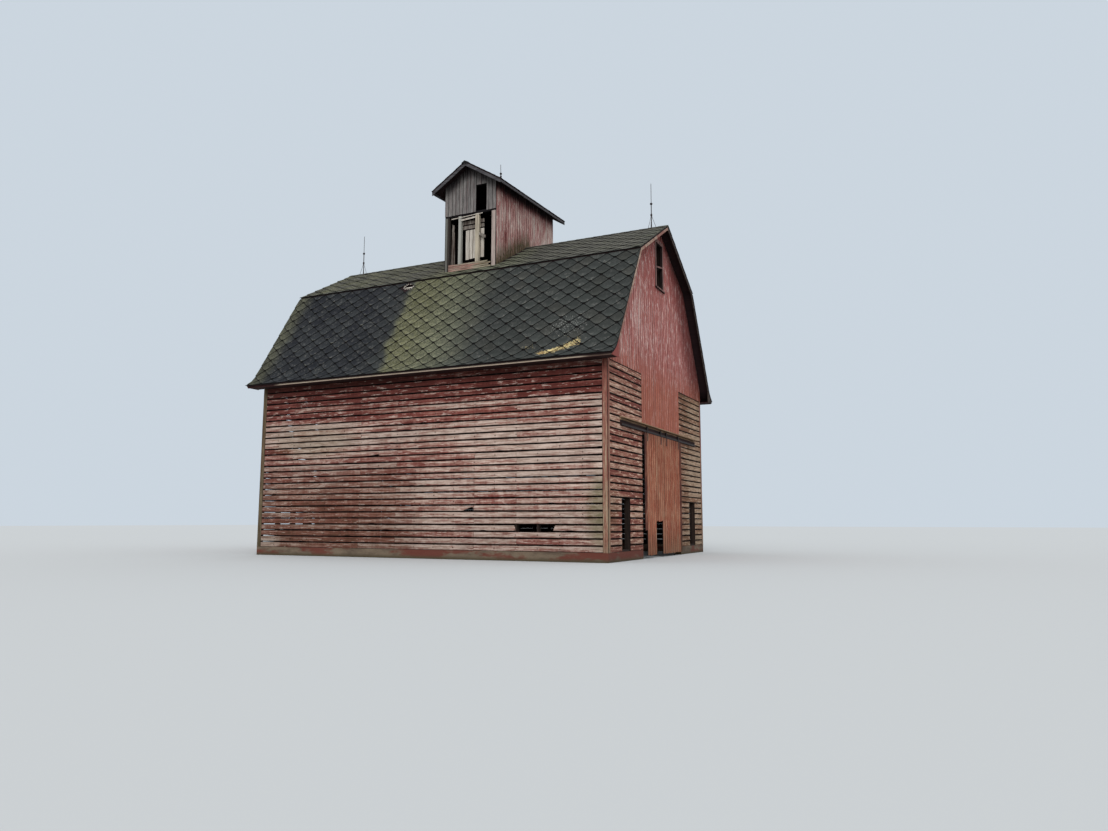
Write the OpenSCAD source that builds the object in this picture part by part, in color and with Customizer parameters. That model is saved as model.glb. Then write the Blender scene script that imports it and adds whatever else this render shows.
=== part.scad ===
// Drive-through corn crib barn: two slatted cribs with an alley between them,
// a gambrel roof with flared eaves, and a gabled cupola across the ridge.
// X runs along the ridge, the long front wall faces -Y, and Z is up from the ground.

/* [Walls] */
// Length of the building along the ridge, outside the slats
wall_length = 10970; // [8600:10:13400]
// Width of each crib, from the outside of its long wall to the alley
crib_width = 2440; // [2200:10:2800]
// Width of the alley between the cribs
alley_width = 3350; // [3200:10:3700]
// Number of slats from the foundation to the eave
slat_count = 28; // [26:1:32]
// Height of one slat
slat_height = 141; // [130:1:152]
// Open gap over each slat
slat_gap = 25; // [16:1:34]
// Thickness of the slats and the gable boards
slat_thickness = 22; // [18:1:26]
// Height of the foundation above the ground
foundation_height = 230; // [150:5:320]
// Width of the foundation wall
foundation_width = 200; // [170:5:260]
// Width of the studs, seen from outside
stud_width = 45; // [38:1:55]
// Depth of the studs, through the wall
stud_depth = 140; // [110:5:160]
// Spacing of the studs and rafters
stud_spacing = 609.5; // [500:0.5:720]
// Width of a corner board
corner_board_width = 140; // [110:5:170]
// Thickness of the corner boards
corner_board_thickness = 25; // [22:1:30]

/* [Openings] */
// Width of the hatch in each crib end of the right gable
hatch_width = 600; // [450:10:700]
// Distance from the corner of the building to the hatch
hatch_setin = 895; // [700:5:1000]
// Number of slat rows that the hatch interrupts
hatch_rows = 8; // [5:1:10]
// Height of the alley doorway
doorway_height = 3250; // [2900:10:3400]
// Outside width of the gable window frame
window_width = 640; // [500:10:760]
// Height of the gable window frame
window_height = 1400; // [900:10:1450]
// Height of the window frame's top below the ridge
window_drop = 480; // [440:10:560]
// Width of the window frame's stiles and rails
window_stile = 45; // [35:1:60]
// Width of the flat casing boards around the window's opening
window_casing = 100; // [60:5:120]
// Rise of the slipped meeting bar from one end to the other
window_bar_rise = 100; // [0:5:120]
// First end of the broken slat's gap, from the middle of the front wall
broken_slat_start = 3090; // [2900:10:3300]
// Length of the broken slat's gap
broken_slat_length = 960; // [600:10:1200]
// Row of the broken slat, counted from the foundation
broken_slat_row = 4; // [2:1:8]

/* [Doors] */
// Width of one sliding door leaf
leaf_width = 1640; // [1500:10:1750]
// Height of the bottom of the leaves above the ground
leaf_clearance = 70; // [40:5:120]
// Gap between the meeting edges of the two leaves
leaf_gap = 10; // [6:1:20]
// Thickness of the leaf boards and ledges
leaf_board = 22; // [18:1:26]
// Gap between the wall and the ledges of the leaves
leaf_standoff = 15; // [10:1:25]
// Height of a ledge across the leaf
ledge_height = 150; // [120:5:200]
// Half the length of the door track
track_reach = 3300; // [3220:10:3400]
// Height of the flat rail
rail_height = 50; // [40:1:60]
// Thickness of the flat rail
rail_thickness = 8; // [6:1:10]
// Radius of a door roller
roller_radius = 50; // [40:1:55]
// Width of a hanger strap
strap_width = 45; // [35:1:60]
// Distance of a hanger's middle from the leaf's edge
hanger_setin = 250; // [150:10:400]
// Length of a hanger strap on the leaf
strap_length = 220; // [150:10:300]
// Thickness of a hanger strap
strap_thickness = 6; // [5:1:8]
// Width of the boards lost from the foot of the front leaf
lost_board_width = 450; // [300:10:600]
// Distance of those boards from the leaf's meeting edge
lost_board_setin = 195; // [100:5:300]
// Height to which those boards are lost
lost_board_height = 880; // [400:10:1200]
// Width of the board lost at the leaf's outer edge
lost_edge_width = 215; // [100:5:300]
// Height to which that board is lost
lost_edge_height = 640; // [300:10:900]

/* [Roof] */
// Distance of the knee of the gambrel from the ridge line
knee_offset = 2400; // [2250:10:2600]
// Height of the knee above the wall
knee_rise = 3252; // [2900:10:3500]
// Height of the ridge above the knee
ridge_rise = 1380; // [1200:10:1600]
// Overhang of the eaves beyond the long walls
eave_overhang = 415; // [350:5:480]
// Height of the roof's edge above the top of the slats
eave_lift = 47; // [40:1:60]
// Width of the flared strip along the eaves
flare_run = 380; // [320:5:440]
// Rise of the flared strip
flare_rise = 340; // [300:5:400]
// Thickness of the roof deck
deck_thickness = 40; // [30:1:50]
// Clearance under the deck of rafters, boards and frames
fit_gap = 0.3; // [0.2:0.05:0.6]
// Overhang of the upper roof past the knee
knee_drip = 60; // [40:1:75]
// Overhang of the roof beyond the gables
gable_overhang = 290; // [240:5:340]
// Depth of the rafters
rafter_depth = 140; // [110:5:160]
// Level length of the rafter's seat on the wall plate
rafter_seat = 80; // [50:5:100]
// Depth of the rake boards
rake_depth = 75; // [60:5:150]
// Thickness of rake boards, fascias and soffits
trim_thickness = 22; // [18:1:26]
// Depth of the fascia below the roof's edge
fascia_drop = 42; // [36:1:60]
// Thickness of the ridge board
ridge_board_thickness = 30; // [25:1:45]
// Depth of the ridge board
ridge_board_depth = 190; // [160:5:240]
// Depth of a collar tie
tie_depth = 150; // [120:5:180]
// Thickness of a collar tie
tie_thickness = 30; // [22:1:38]
// Size of the hole through the lower roof
roof_hole_size = 200; // [120:5:260]
// Place of the hole along the ridge, from the middle
roof_hole_x = -1490; // [-1600:5:-1450]

/* [Cupola] */
// Place of the cupola's middle along the ridge
cupola_x = 240; // [0:5:300]
// Width of the cupola along the ridge
cupola_width = 1780; // [1700:10:2000]
// Depth of the cupola across the ridge
cupola_depth = 3900; // [3400:10:4200]
// Height of the cupola's roof ridge above the main ridge
cupola_rise = 2135; // [2000:5:2400]
// Overhang of the cupola's eaves
cupola_eave = 295; // [240:5:340]
// Overhang of the cupola's gables
cupola_gable_overhang = 290; // [220:5:320]
// Slope of the cupola's roof, as rise over run
cupola_slope = 0.615; // [0.55:0.005:0.75]
// Lean of the cupola's roof in degrees, which has sunk at the front
cupola_lean = 2.6; // [0:0.1:4]
// Thickness of the cupola's roof deck
cupola_deck = 30; // [24:1:36]
// Depth of the boards along the cupola's eaves
cupola_eave_board = 60; // [40:5:90]
// Face width of the cupola's corner posts
cupola_post = 130; // [100:5:150]
// Depth of the cupola's posts and studs
cupola_post_depth = 90; // [70:5:110]
// Height of the belt girt above the main ridge
girt_rise = 660; // [560:10:760]
// Height of the belt girt
girt_height = 70; // [50:5:100]
// Width of the slot left open in the front gable boards
slot_width = 360; // [240:10:400]
// Place of the slot's middle from the cupola's middle
slot_x = 385; // [340:5:400]
// Height of the slot above the girt
slot_height = 800; // [600:10:820]
// Width of the first open stud of the cupola's front
stud_a_width = 100; // [80:5:120]
// Place of the first stud from the cupola's middle
stud_a_x = -363; // [-400:1:-330]
// Width of the second open stud
stud_b_width = 120; // [90:5:140]
// Place of the second stud from the cupola's middle
stud_b_x = 240; // [200:1:280]
// Height of the base board on the roof
base_board_height = 214; // [150:5:260]
// First edge of the inner panel, from the cupola's middle
panel_start = -210; // [-240:5:-180]
// Width of the inner panel
panel_width = 648; // [560:5:700]
// Height of the inner panel
panel_height = 920; // [700:10:1000]
// Height of the inner panel's foot above the base board
panel_lift = 120; // [80:5:160]

/* [Lightning rods] */
// Height of a rod on the main ridge
rod_height = 1380; // [900:10:1500]
// Height of the rod on the cupola
cupola_rod_height = 690; // [600:10:900]
// Place of that rod behind the middle of the cupola's ridge
cupola_rod_y = -55; // [-150:5:150]
// Radius of the rod below the ball
rod_radius = 13; // [8:0.5:14]
// Radius of the glass ball
ball_radius = 38; // [30:1:50]
// Distance of each rod from the roof's end
rod_setin = 500; // [350:10:700]
// Radius of the tripod's legs
leg_radius = 5; // [4:0.5:7]
// Spread of the tripod's feet
tripod_spread = 140; // [90:5:160]
// Height at which the tripod holds the rod
tripod_height = 400; // [300:10:480]

/* [Hidden] */
$fn = 48;

// Colours as the weathered building shows them
red_paint = "#7d2f2c";
worn_red = "#9a5a52";
bare_wood = "#8a8178";
grey_wood = "#77726c";
shingle = "#3c403c";
concrete = "#8d857b";
iron = "#55585c";

// Sizes worked out from the driving dimensions
half_length = wall_length / 2;
half_width = crib_width + alley_width / 2;
alley_half = alley_width / 2;
slat_pitch = slat_height + slat_gap;
wall_top = foundation_height + slat_count * slat_pitch;
frame_half_length = half_length - slat_thickness;
frame_half_width = half_width - slat_thickness;
plate_height = 2 * stud_width;
sill_height = stud_width;
corner_proud = corner_board_thickness - slat_thickness;
overcut = 50;
seam = 3;

// Plane geometry in the cross-section: first number is y from the ridge line, second is z
function unit(v) = v / norm(v);
function up_normal(d) = [-d[1], d[0]];
function turned(v, a) = [v[0] * cos(a) - v[1] * sin(a), v[0] * sin(a) + v[1] * cos(a)];
function crossed(p, d, q, e) =
    p + d * (((q[0] - p[0]) * e[1] - (q[1] - p[1]) * e[0]) / (d[0] * e[1] - d[1] * e[0]));
function reversed(list) = [for (i = [len(list) - 1 : -1 : 0]) list[i]];
function mirrored(list) = [for (p = list) [-p[0], p[1]]];

// Cross-section of the gambrel roof's upper surface
knee_z = wall_top + knee_rise;
ridge_z = knee_z + ridge_rise;
ridge_point = [0, ridge_z];
knee_point = [knee_offset, knee_z];
eave_point = [half_width + eave_overhang, wall_top + eave_lift];
flare_point = eave_point + [-flare_run, flare_rise];
upper_run = unit(knee_point - ridge_point);
lower_run = unit(flare_point - knee_point);
upper_up = up_normal(upper_run);
lower_up = up_normal(lower_run);
down = [0, 1];

// The flare is one arc, tangent to the steep slope where it starts
flare_chord = eave_point - flare_point;
flare_radius = (flare_chord * flare_chord) / (2 * (flare_chord * lower_up));
flare_centre = flare_point + lower_up * flare_radius;
flare_angle = 2 * acos(unit(flare_chord) * lower_run);
flare_steps = 8;
function flare_arc(depth) = [
    for (i = [0 : flare_steps])
        flare_centre - turned(lower_up * (flare_radius + depth), flare_angle * i / flare_steps)
];

// A line of the upper or lower slope, sunk below the roof's surface, where it meets another line
function upper_line(depth) = ridge_point - upper_up * depth;
function lower_line(depth) = knee_point - lower_up * depth;
function upper_at(depth, y) = crossed(upper_line(depth), upper_run, [y, 0], down);
function lower_at(depth, y) = crossed(lower_line(depth), lower_run, [y, 0], down);
function knee_at(lower_depth, upper_depth) =
    crossed(lower_line(lower_depth), lower_run, upper_line(upper_depth), upper_run);

below_deck = deck_thickness + fit_gap;
rafter_under = deck_thickness + rafter_depth;
below_rafters = rafter_under + fit_gap;
mitre_out = knee_at(deck_thickness, deck_thickness);
rafter_out = knee_at(below_deck, below_deck);
mitre_in = knee_at(rafter_under, rafter_under);
seat_point = lower_at(rafter_under, frame_half_width - rafter_seat);
plate_top = seat_point[1];

// The half section below the deck, and the one below the rafters
under_deck_half = [upper_at(below_deck, 0), rafter_out, each flare_arc(below_deck)];
under_deck = concat(under_deck_half, [[eave_point[0], 0], [-eave_point[0], 0]],
    reversed(mirrored(under_deck_half)));
under_rafters_half = [upper_at(below_rafters, 0), knee_at(below_rafters, below_rafters),
    lower_at(below_rafters, seat_point[0]), [seat_point[0], 0]];
under_rafters = concat(under_rafters_half, reversed(mirrored(under_rafters_half)));

// Cupola sizes
cupola_half = cupola_width / 2;
cupola_half_depth = cupola_depth / 2;
cupola_ridge_z = ridge_z + cupola_rise;
cupola_deck_drop = cupola_deck * sqrt(1 + cupola_slope * cupola_slope);
cupola_gable_top = cupola_ridge_z - cupola_deck_drop - fit_gap;
cupola_wall_top = cupola_gable_top - cupola_half * cupola_slope;
function lean_rise(y) = (y + cupola_half_depth) * tan(cupola_lean);
girt_z = ridge_z + girt_rise;
main_slope = ridge_rise / knee_offset;
cupola_foot_z = ridge_z - main_slope * cupola_half_depth;
base_board_top = cupola_foot_z + base_board_height;
post_front = cupola_half_depth - slat_thickness;
shaft_half = cupola_half - slat_thickness - cupola_post_depth;
shaft_half_depth = post_front - cupola_post_depth;
header_thickness = stud_width;
header_face = shaft_half_depth + header_thickness;

// Stud and rafter places along the building and across the crib ends
bay_count = round(2 * (frame_half_length - stud_width / 2) / stud_spacing);
bay_pitch = 2 * (frame_half_length - stud_width / 2) / bay_count;
stud_places = [for (i = [0 : bay_count]) -frame_half_length + stud_width / 2 + i * bay_pitch];
hatch_outer = half_width - hatch_setin;
hatch_inner = hatch_outer - hatch_width;
hatch_top = foundation_height + hatch_rows * slat_pitch;
slat_end = half_width - corner_board_width;

// Doors
leaf_top = doorway_height + 60;
rail_bottom = leaf_top + 20;
rail_top = rail_bottom + rail_height;
running_gap = 0.5;
ledge_face = half_length + leaf_standoff;
leaf_face = ledge_face + leaf_board;
strap_face = leaf_face + leaf_board;
rail_face = strap_face - 8 - rail_thickness;
roller_width = 18;
roller_x = rail_face + rail_thickness / 2;
roller_z = rail_top + running_gap + roller_radius;
hood_under = roller_z + roller_radius + 15;
track_board_face = half_length + slat_thickness;
hood_reach = 135;
hood_pitch = 12;

// Window
window_top = ridge_z - window_drop;
window_bottom = window_top - window_height;
window_half = window_width / 2;
window_depth = 60;
window_proud = 15;
sill_reach = 60;
window_bar_z = window_bottom + 0.42 * window_height;
sill_board = 40;

// Places a shape drawn in the cross-section so that it runs from x_start to x_end
module across(x_start, x_end) {
    translate([x_start, 0, 0]) rotate([90, 0, 90]) linear_extrude(x_end - x_start) children();
}

// A box between two corners
module block(low, high) {
    translate(low) cube(high - low);
}

// The same pieces at the right gable, and mirrored at the left one
module both_gables() {
    children();
    mirror([1, 0, 0]) children();
}

// The same pieces on the back half, and mirrored on the front half
module both_sides() {
    children();
    mirror([0, 1, 0]) children();
}

// Foundation curb of each crib, open across the alley
module foundation() {
    color(concrete) both_sides() linear_extrude(foundation_height) difference() {
        translate([-half_length, alley_half]) square([wall_length, crib_width]);
        translate([-half_length + foundation_width, alley_half - overcut])
            square([wall_length - 2 * foundation_width, crib_width - foundation_width + overcut]);
    }
}

// Studded frame of one long wall, with its sill and its wall plate
module long_frame() {
    outer = frame_half_width;
    inner = frame_half_width - stud_depth;
    block([-frame_half_length, inner, foundation_height],
        [frame_half_length, outer, foundation_height + sill_height]);
    block([-frame_half_length, inner, plate_top - plate_height], [frame_half_length, outer, plate_top]);
    for (x = stud_places)
        block([x - stud_width / 2, inner, foundation_height],
            [x + stud_width / 2, outer, plate_top]);
}

module front_frame() { color(bare_wood) mirror([0, 1, 0]) long_frame(); }
module back_frame() { color(bare_wood) long_frame(); }

// Frame of one crib end: a sill, a post at the alley, studs and a plate, with a header over a hatch
module crib_end_frame(hatched) {
    low = alley_half;
    high = frame_half_width - stud_depth;
    top = wall_top;
    spaces = round((high - low) / stud_spacing);
    even_studs = [for (i = [1 : spaces - 1]) low + i * (high - low) / spaces];
    hatch_studs = [hatch_inner - stud_width, hatch_outer, (hatch_outer + high) / 2];
    across(frame_half_length - stud_depth, frame_half_length) {
        translate([low, foundation_height]) square([high - low, sill_height]);
        translate([low, top - sill_height]) square([high - low, sill_height]);
        translate([low, foundation_height]) square([2 * stud_width, top - foundation_height]);
        for (y = hatched ? hatch_studs : even_studs)
            translate([y, foundation_height]) square([stud_width, top - foundation_height]);
        if (hatched)
            translate([hatch_inner - stud_width, hatch_top])
                square([hatch_width + 2 * stud_width, sill_height]);
    }
}

// The crib ends have hatches at the right gable only
module crib_end_frames() {
    color(bare_wood) both_sides() {
        crib_end_frame(true);
        mirror([1, 0, 0]) crib_end_frame(false);
    }
}

// Frame of a gable: tie beam, studs up to the rafters, window trimmers and the doorway's header
module gable_frame() {
    beam_half = frame_half_width - stud_depth;
    stud_y = [for (y = [window_half : stud_spacing : beam_half - stud_width]) y];
    across(frame_half_length - stud_depth, frame_half_length) intersection() {
        polygon(under_rafters);
        union() {
            translate([-beam_half, wall_top]) square([2 * beam_half, stud_depth]);
            translate([-alley_half, doorway_height]) square([2 * alley_half, stud_depth]);
            both_halves() for (y = stud_y) {
                foot = y < alley_half - stud_width ? doorway_height : wall_top;
                translate([y, foot]) square([stud_width, ridge_z - foot]);
            }
            for (z = [window_bottom - stud_width, window_top])
                translate([-window_half, z]) square([window_width, stud_width]);
        }
    }
}

// Flat shapes on both sides of the middle line of a gable
module both_halves() {
    children();
    mirror([1, 0]) children();
}

module gable_frames() { color(bare_wood) both_gables() gable_frame(); }

// One horizontal slat of a long wall
module long_slat(row, x_start, x_end) {
    z = foundation_height + row * slat_pitch;
    block([x_start, frame_half_width, z], [x_end, half_width, z + slat_height]);
}

// The front wall has one slat with a piece broken out of it
module front_slats() {
    end = half_length - corner_board_width;
    color(red_paint) mirror([0, 1, 0]) for (row = [0 : slat_count - 1]) {
        if (row == broken_slat_row - 1) {
            long_slat(row, -end, broken_slat_start);
            long_slat(row, broken_slat_start + broken_slat_length, end);
        } else {
            long_slat(row, -end, end);
        }
    }
}

module back_slats() {
    end = half_length - corner_board_width;
    color(red_paint) for (row = [0 : slat_count - 1]) long_slat(row, -end, end);
}

// Slats of one crib end, interrupted where it has a hatch
module crib_end_slats(hatched) {
    for (row = [0 : slat_count - 1]) {
        z = foundation_height + row * slat_pitch;
        spans = hatched && row < hatch_rows
            ? [[alley_half, hatch_inner], [hatch_outer, slat_end]]
            : [[alley_half, slat_end]];
        for (s = spans)
            block([frame_half_length, s[0], z], [half_length, s[1], z + slat_height]);
    }
}

module right_crib_slats() { color(worn_red) both_sides() crib_end_slats(true); }
module left_crib_slats() { color(worn_red) mirror([1, 0, 0]) both_sides() crib_end_slats(false); }

// Vertical boarding of a gable, in panels beside, under and over the window
module gable_boards() {
    side = window_half + seam;
    across(frame_half_length, half_length) {
        both_halves() intersection() {
            polygon(under_deck);
            union() {
                translate([side, wall_top]) square([half_width - side, ridge_z - wall_top]);
                translate([side, doorway_height]) square([alley_half - side, ridge_z - doorway_height]);
            }
        }
        translate([-window_half, doorway_height])
            square([window_width, window_bottom - doorway_height]);
        intersection() {
            polygon(under_deck);
            translate([-window_half, window_top]) square([window_width, window_drop]);
        }
    }
}

module right_gable_boards() { color(worn_red) gable_boards(); }
module left_gable_boards() { color(worn_red) mirror([1, 0, 0]) gable_boards(); }

// Corner boards, two at each corner, fixed to the frame beside the ends of the slats
module corner_boards() {
    color(red_paint) both_gables() both_sides() translate([0, 0, foundation_height])
        linear_extrude(wall_top - foundation_height) difference() {
            translate([half_length - corner_board_width, half_width - corner_board_width])
                square([corner_board_width + corner_proud, corner_board_width + corner_proud]);
            translate([0, 0]) square([frame_half_length, frame_half_width]);
        }
}

// Opening of the window frame, less its slipped meeting bar
module window_opening() {
    inner_half = window_half - window_stile;
    difference() {
        translate([-inner_half, window_bottom + window_stile])
            square([2 * inner_half, window_height - 2 * window_stile]);
        polygon([[-inner_half, window_bar_z], [inner_half, window_bar_z + window_bar_rise],
            [inner_half, window_bar_z + window_bar_rise + window_stile],
            [-inner_half, window_bar_z + window_stile]]);
    }
}

// Window frame with flat casings and a projecting sill; the glass is gone
module window_frame() {
    reach = window_casing - window_stile;
    sill_half = window_half + 60;
    inside = frame_half_length - window_depth + slat_thickness;
    across(inside, half_length + window_proud) difference() {
        translate([-window_half, window_bottom]) square([window_width, window_height]);
        window_opening();
    }
    across(half_length, half_length + window_proud) difference() {
        translate([-window_half - reach, window_bottom])
            square([window_width + 2 * reach, window_height + reach]);
        window_opening();
    }
    block([half_length, -sill_half, window_bottom - sill_board + 10],
        [half_length + sill_reach, sill_half, window_bottom + 10]);
}

module window_frames() { color(bare_wood) both_gables() window_frame(); }

// Wooden track board and the hood over the rail, with its ends closed
module door_track() {
    board_bottom = leaf_top + 10;
    union() {
        block([half_length, -track_reach, board_bottom],
            [track_board_face, track_reach, hood_under + 10]);
        translate([half_length, 0, hood_under + hood_reach * tan(hood_pitch)])
            rotate([0, hood_pitch, 0])
                block([0, -track_reach - 15, 0], [hood_reach, track_reach + 15, slat_thickness]);
    }
}

module door_tracks() { color(grey_wood) both_gables() door_track(); }

// Flat rail, stood off the track board on blocks
module door_rail() {
    union() {
        block([rail_face, -track_reach + 20, rail_bottom],
            [rail_face + rail_thickness, track_reach - 20, rail_top]);
        for (i = [0 : 8]) {
            y = -track_reach + 60 + i * (2 * track_reach - 120) / 8;
            block([track_board_face, y - 20, rail_bottom], [rail_face, y + 20, rail_top]);
        }
    }
}

module door_rails() { color(iron) both_gables() door_rail(); }

// One door leaf of upright boards, from y_start to y_end
module leaf_boards(y_start, y_end) {
    block([leaf_face, y_start, leaf_clearance], [strap_face, y_end, leaf_top]);
}

// The ledges inside a leaf
module leaf_ledges(y_start, y_end) {
    height = leaf_top - leaf_clearance;
    for (share = [0.34, 0.62, 0.9])
        block([ledge_face, y_start + 30, leaf_clearance + share * height],
            [leaf_face, y_end - 30, leaf_clearance + share * height + ledge_height]);
}

// Two hangers: a strap on the face of the leaf and a roller on the rail
module leaf_hangers(y_start, y_end) {
    for (y = [y_start + hanger_setin, y_end - hanger_setin]) {
        block([strap_face, y - strap_width / 2, leaf_top - strap_length],
            [strap_face + strap_thickness, y + strap_width / 2, roller_z + 30]);
        translate([roller_x - roller_width / 2, y, roller_z]) rotate([0, 90, 0])
            cylinder(r = roller_radius, h = roller_width);
        translate([roller_x, y, roller_z]) rotate([0, 90, 0])
            cylinder(r = 9, h = strap_face + strap_thickness - roller_x);
    }
}

// The two leaves stand closed, and the front one has lost the feet of some boards
back_leaf = [leaf_gap / 2, leaf_gap / 2 + leaf_width];
front_leaf = -1 * [back_leaf[1], back_leaf[0]];

module front_door_boards() {
    lost_end = front_leaf[1] - lost_board_setin;
    color(worn_red) difference() {
        leaf_boards(front_leaf[0], front_leaf[1]);
        block([leaf_face - overcut, lost_end - lost_board_width, 0],
            [strap_face + overcut, lost_end, leaf_clearance + lost_board_height]);
        block([leaf_face - overcut, front_leaf[0] - overcut, 0],
            [strap_face + overcut, front_leaf[0] + lost_edge_width, leaf_clearance + lost_edge_height]);
    }
}
module front_door_ledges() { color(bare_wood) leaf_ledges(front_leaf[0], front_leaf[1]); }
module front_door_hangers() { color(iron) leaf_hangers(front_leaf[0], front_leaf[1]); }
module back_door_boards() { color(worn_red) leaf_boards(back_leaf[0], back_leaf[1]); }
module back_door_ledges() { color(bare_wood) leaf_ledges(back_leaf[0], back_leaf[1]); }
module back_door_hangers() { color(iron) leaf_hangers(back_leaf[0], back_leaf[1]); }

// The two leaves at the far gable
module far_door_boards() {
    color(worn_red) mirror([1, 0, 0]) both_sides() leaf_boards(back_leaf[0], back_leaf[1]);
}
module far_door_ledges() {
    color(bare_wood) mirror([1, 0, 0]) both_sides() leaf_ledges(back_leaf[0], back_leaf[1]);
}
module far_door_hangers() {
    color(iron) mirror([1, 0, 0]) both_sides() leaf_hangers(back_leaf[0], back_leaf[1]);
}

// Steep lower roof with its flared foot
module lower_roof() {
    across(-half_length - gable_overhang, half_length + gable_overhang)
        polygon(concat(
            [knee_at(0, deck_thickness)],
            flare_arc(0),
            reversed(flare_arc(deck_thickness)),
            [mitre_out]));
}

module lower_roof_front() {
    slope_angle = atan2(lower_run[1], lower_run[0]);
    hole_centre = knee_at(0, deck_thickness) + lower_run * 0.85 * roof_hole_size;
    color(shingle) mirror([0, 1, 0]) difference() {
        lower_roof();
        translate([roof_hole_x, hole_centre[0], hole_centre[1]]) rotate([slope_angle, 0, 0])
            linear_extrude(4 * deck_thickness, center = true)
                polygon([for (p = [[-0.7, 0], [-0.1, 0.45], [0.8, 0.3], [0.55, -0.3], [-0.2, -0.5]])
                    p * roof_hole_size]);
    }
}
module lower_roof_back() { color(shingle) lower_roof(); }

// Flatter upper roof, open where the cupola stands on it
module upper_roof() {
    lip = knee_point + upper_run * knee_drip;
    difference() {
        across(-half_length - gable_overhang, half_length + gable_overhang)
            polygon([ridge_point, lip, lip - upper_up * deck_thickness, upper_at(deck_thickness, 0)]);
        block([cupola_x - shaft_half, -overcut, ridge_z - 2 * ridge_rise],
            [cupola_x + shaft_half, shaft_half_depth, ridge_z + overcut]);
    }
}

module upper_roof_front() { color(shingle) mirror([0, 1, 0]) upper_roof(); }
module upper_roof_back() { color(shingle) upper_roof(); }

// The box of the eave: fascia under the roof's edge and a level soffit back to the wall
fascia_back = eave_point[0] - deck_thickness - trim_thickness;
module eave_fascias() {
    color(bare_wood) both_sides()
        across(-half_length - gable_overhang + trim_thickness, half_length + gable_overhang - trim_thickness)
            intersection() {
                polygon(under_deck);
                translate([fascia_back, eave_point[1] - deck_thickness - fascia_drop])
                    square([trim_thickness, deck_thickness + fascia_drop + overcut]);
            }
}
module eave_soffits() {
    color(red_paint) both_sides()
        across(-half_length - gable_overhang + trim_thickness, half_length + gable_overhang - trim_thickness)
            translate([half_width + corner_proud, wall_top - trim_thickness])
                square([fascia_back - half_width - corner_proud, trim_thickness]);
}

// Rake board along the whole gambrel, closing the end of each eave box
module rake_board() {
    rake_under = deck_thickness + rake_depth;
    inside_half = [upper_at(rake_under, 0), knee_at(rake_under, rake_under),
        lower_at(rake_under, half_width - overcut), [half_width - overcut, 0]];
    across(half_length + gable_overhang - trim_thickness, half_length + gable_overhang) difference() {
        intersection() {
            polygon(under_deck);
            translate([-fascia_back - trim_thickness, wall_top - trim_thickness])
                square([2 * (fascia_back + trim_thickness), ridge_z]);
        }
        polygon(concat(inside_half, reversed(mirrored(inside_half))));
    }
}

module rake_boards() { color(bare_wood) both_gables() rake_board(); }

// True for a rafter that the cupola's shaft cuts short
function in_shaft(x) = abs(x - cupola_x) < shaft_half + stud_width;

module lower_rafters() {
    heel = frame_half_width;
    color(bare_wood) both_sides() for (x = stud_places) across(x - stud_width / 2, x + stud_width / 2)
        polygon([rafter_out, lower_at(below_deck, heel), [heel, plate_top], seat_point, mitre_in]);
}

module upper_rafters() {
    face = ridge_board_thickness / 2;
    color(bare_wood) both_sides() for (x = stud_places) {
        start = in_shaft(x) ? header_face : face;
        across(x - stud_width / 2, x + stud_width / 2)
            polygon([upper_at(below_deck, start), rafter_out, mitre_in, upper_at(rafter_under, start)]);
    }
}

// Ridge board in two lengths, with the headers that carry the cut rafters
module ridge_board() {
    face = ridge_board_thickness / 2;
    top = upper_at(below_deck, face)[1];
    last_before = max([for (x = stud_places) if (x < cupola_x && !in_shaft(x)) x]);
    first_after = min([for (x = stud_places) if (x > cupola_x && !in_shaft(x)) x]);
    shaft_start = last_before + stud_width / 2;
    shaft_end = first_after - stud_width / 2;
    color(bare_wood) {
        block([-frame_half_length, -face, top - ridge_board_depth], [shaft_start, face, top]);
        block([shaft_end, -face, top - ridge_board_depth], [frame_half_length, face, top]);
        both_sides() across(shaft_start, shaft_end) polygon([
            upper_at(below_deck, shaft_half_depth), upper_at(below_deck, header_face),
            upper_at(rafter_under, header_face), upper_at(rafter_under, shaft_half_depth)]);
    }
}

// Collar ties beside every second pair of rafters, clear of the shaft
module collar_ties() {
    color(bare_wood) for (i = [1 : 2 : bay_count - 1]) if (!in_shaft(stud_places[i]))
        across(stud_places[i] + stud_width / 2, stud_places[i] + stud_width / 2 + tie_thickness)
            intersection() {
                polygon(under_deck);
                translate([-half_width, mitre_in[1] - tie_depth]) square([2 * half_width, tie_depth]);
            }
}

// The space below the main roof's upper surface, from which the cupola is cut
module below_main_roof() {
    wide = cupola_half + cupola_eave + overcut;
    lip = upper_at(0, cupola_half_depth + overcut);
    across(cupola_x - wide, cupola_x + wide)
        polygon([ridge_point, lip, [lip[0], 0], [-lip[0], 0], [-lip[0], lip[1]]]);
}

// Turns the cupola's roof about the heads of its front posts
module leaning() {
    translate([0, -cupola_half_depth, cupola_wall_top]) rotate([cupola_lean, 0, 0])
        translate([0, cupola_half_depth, -cupola_wall_top]) children();
}

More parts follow.
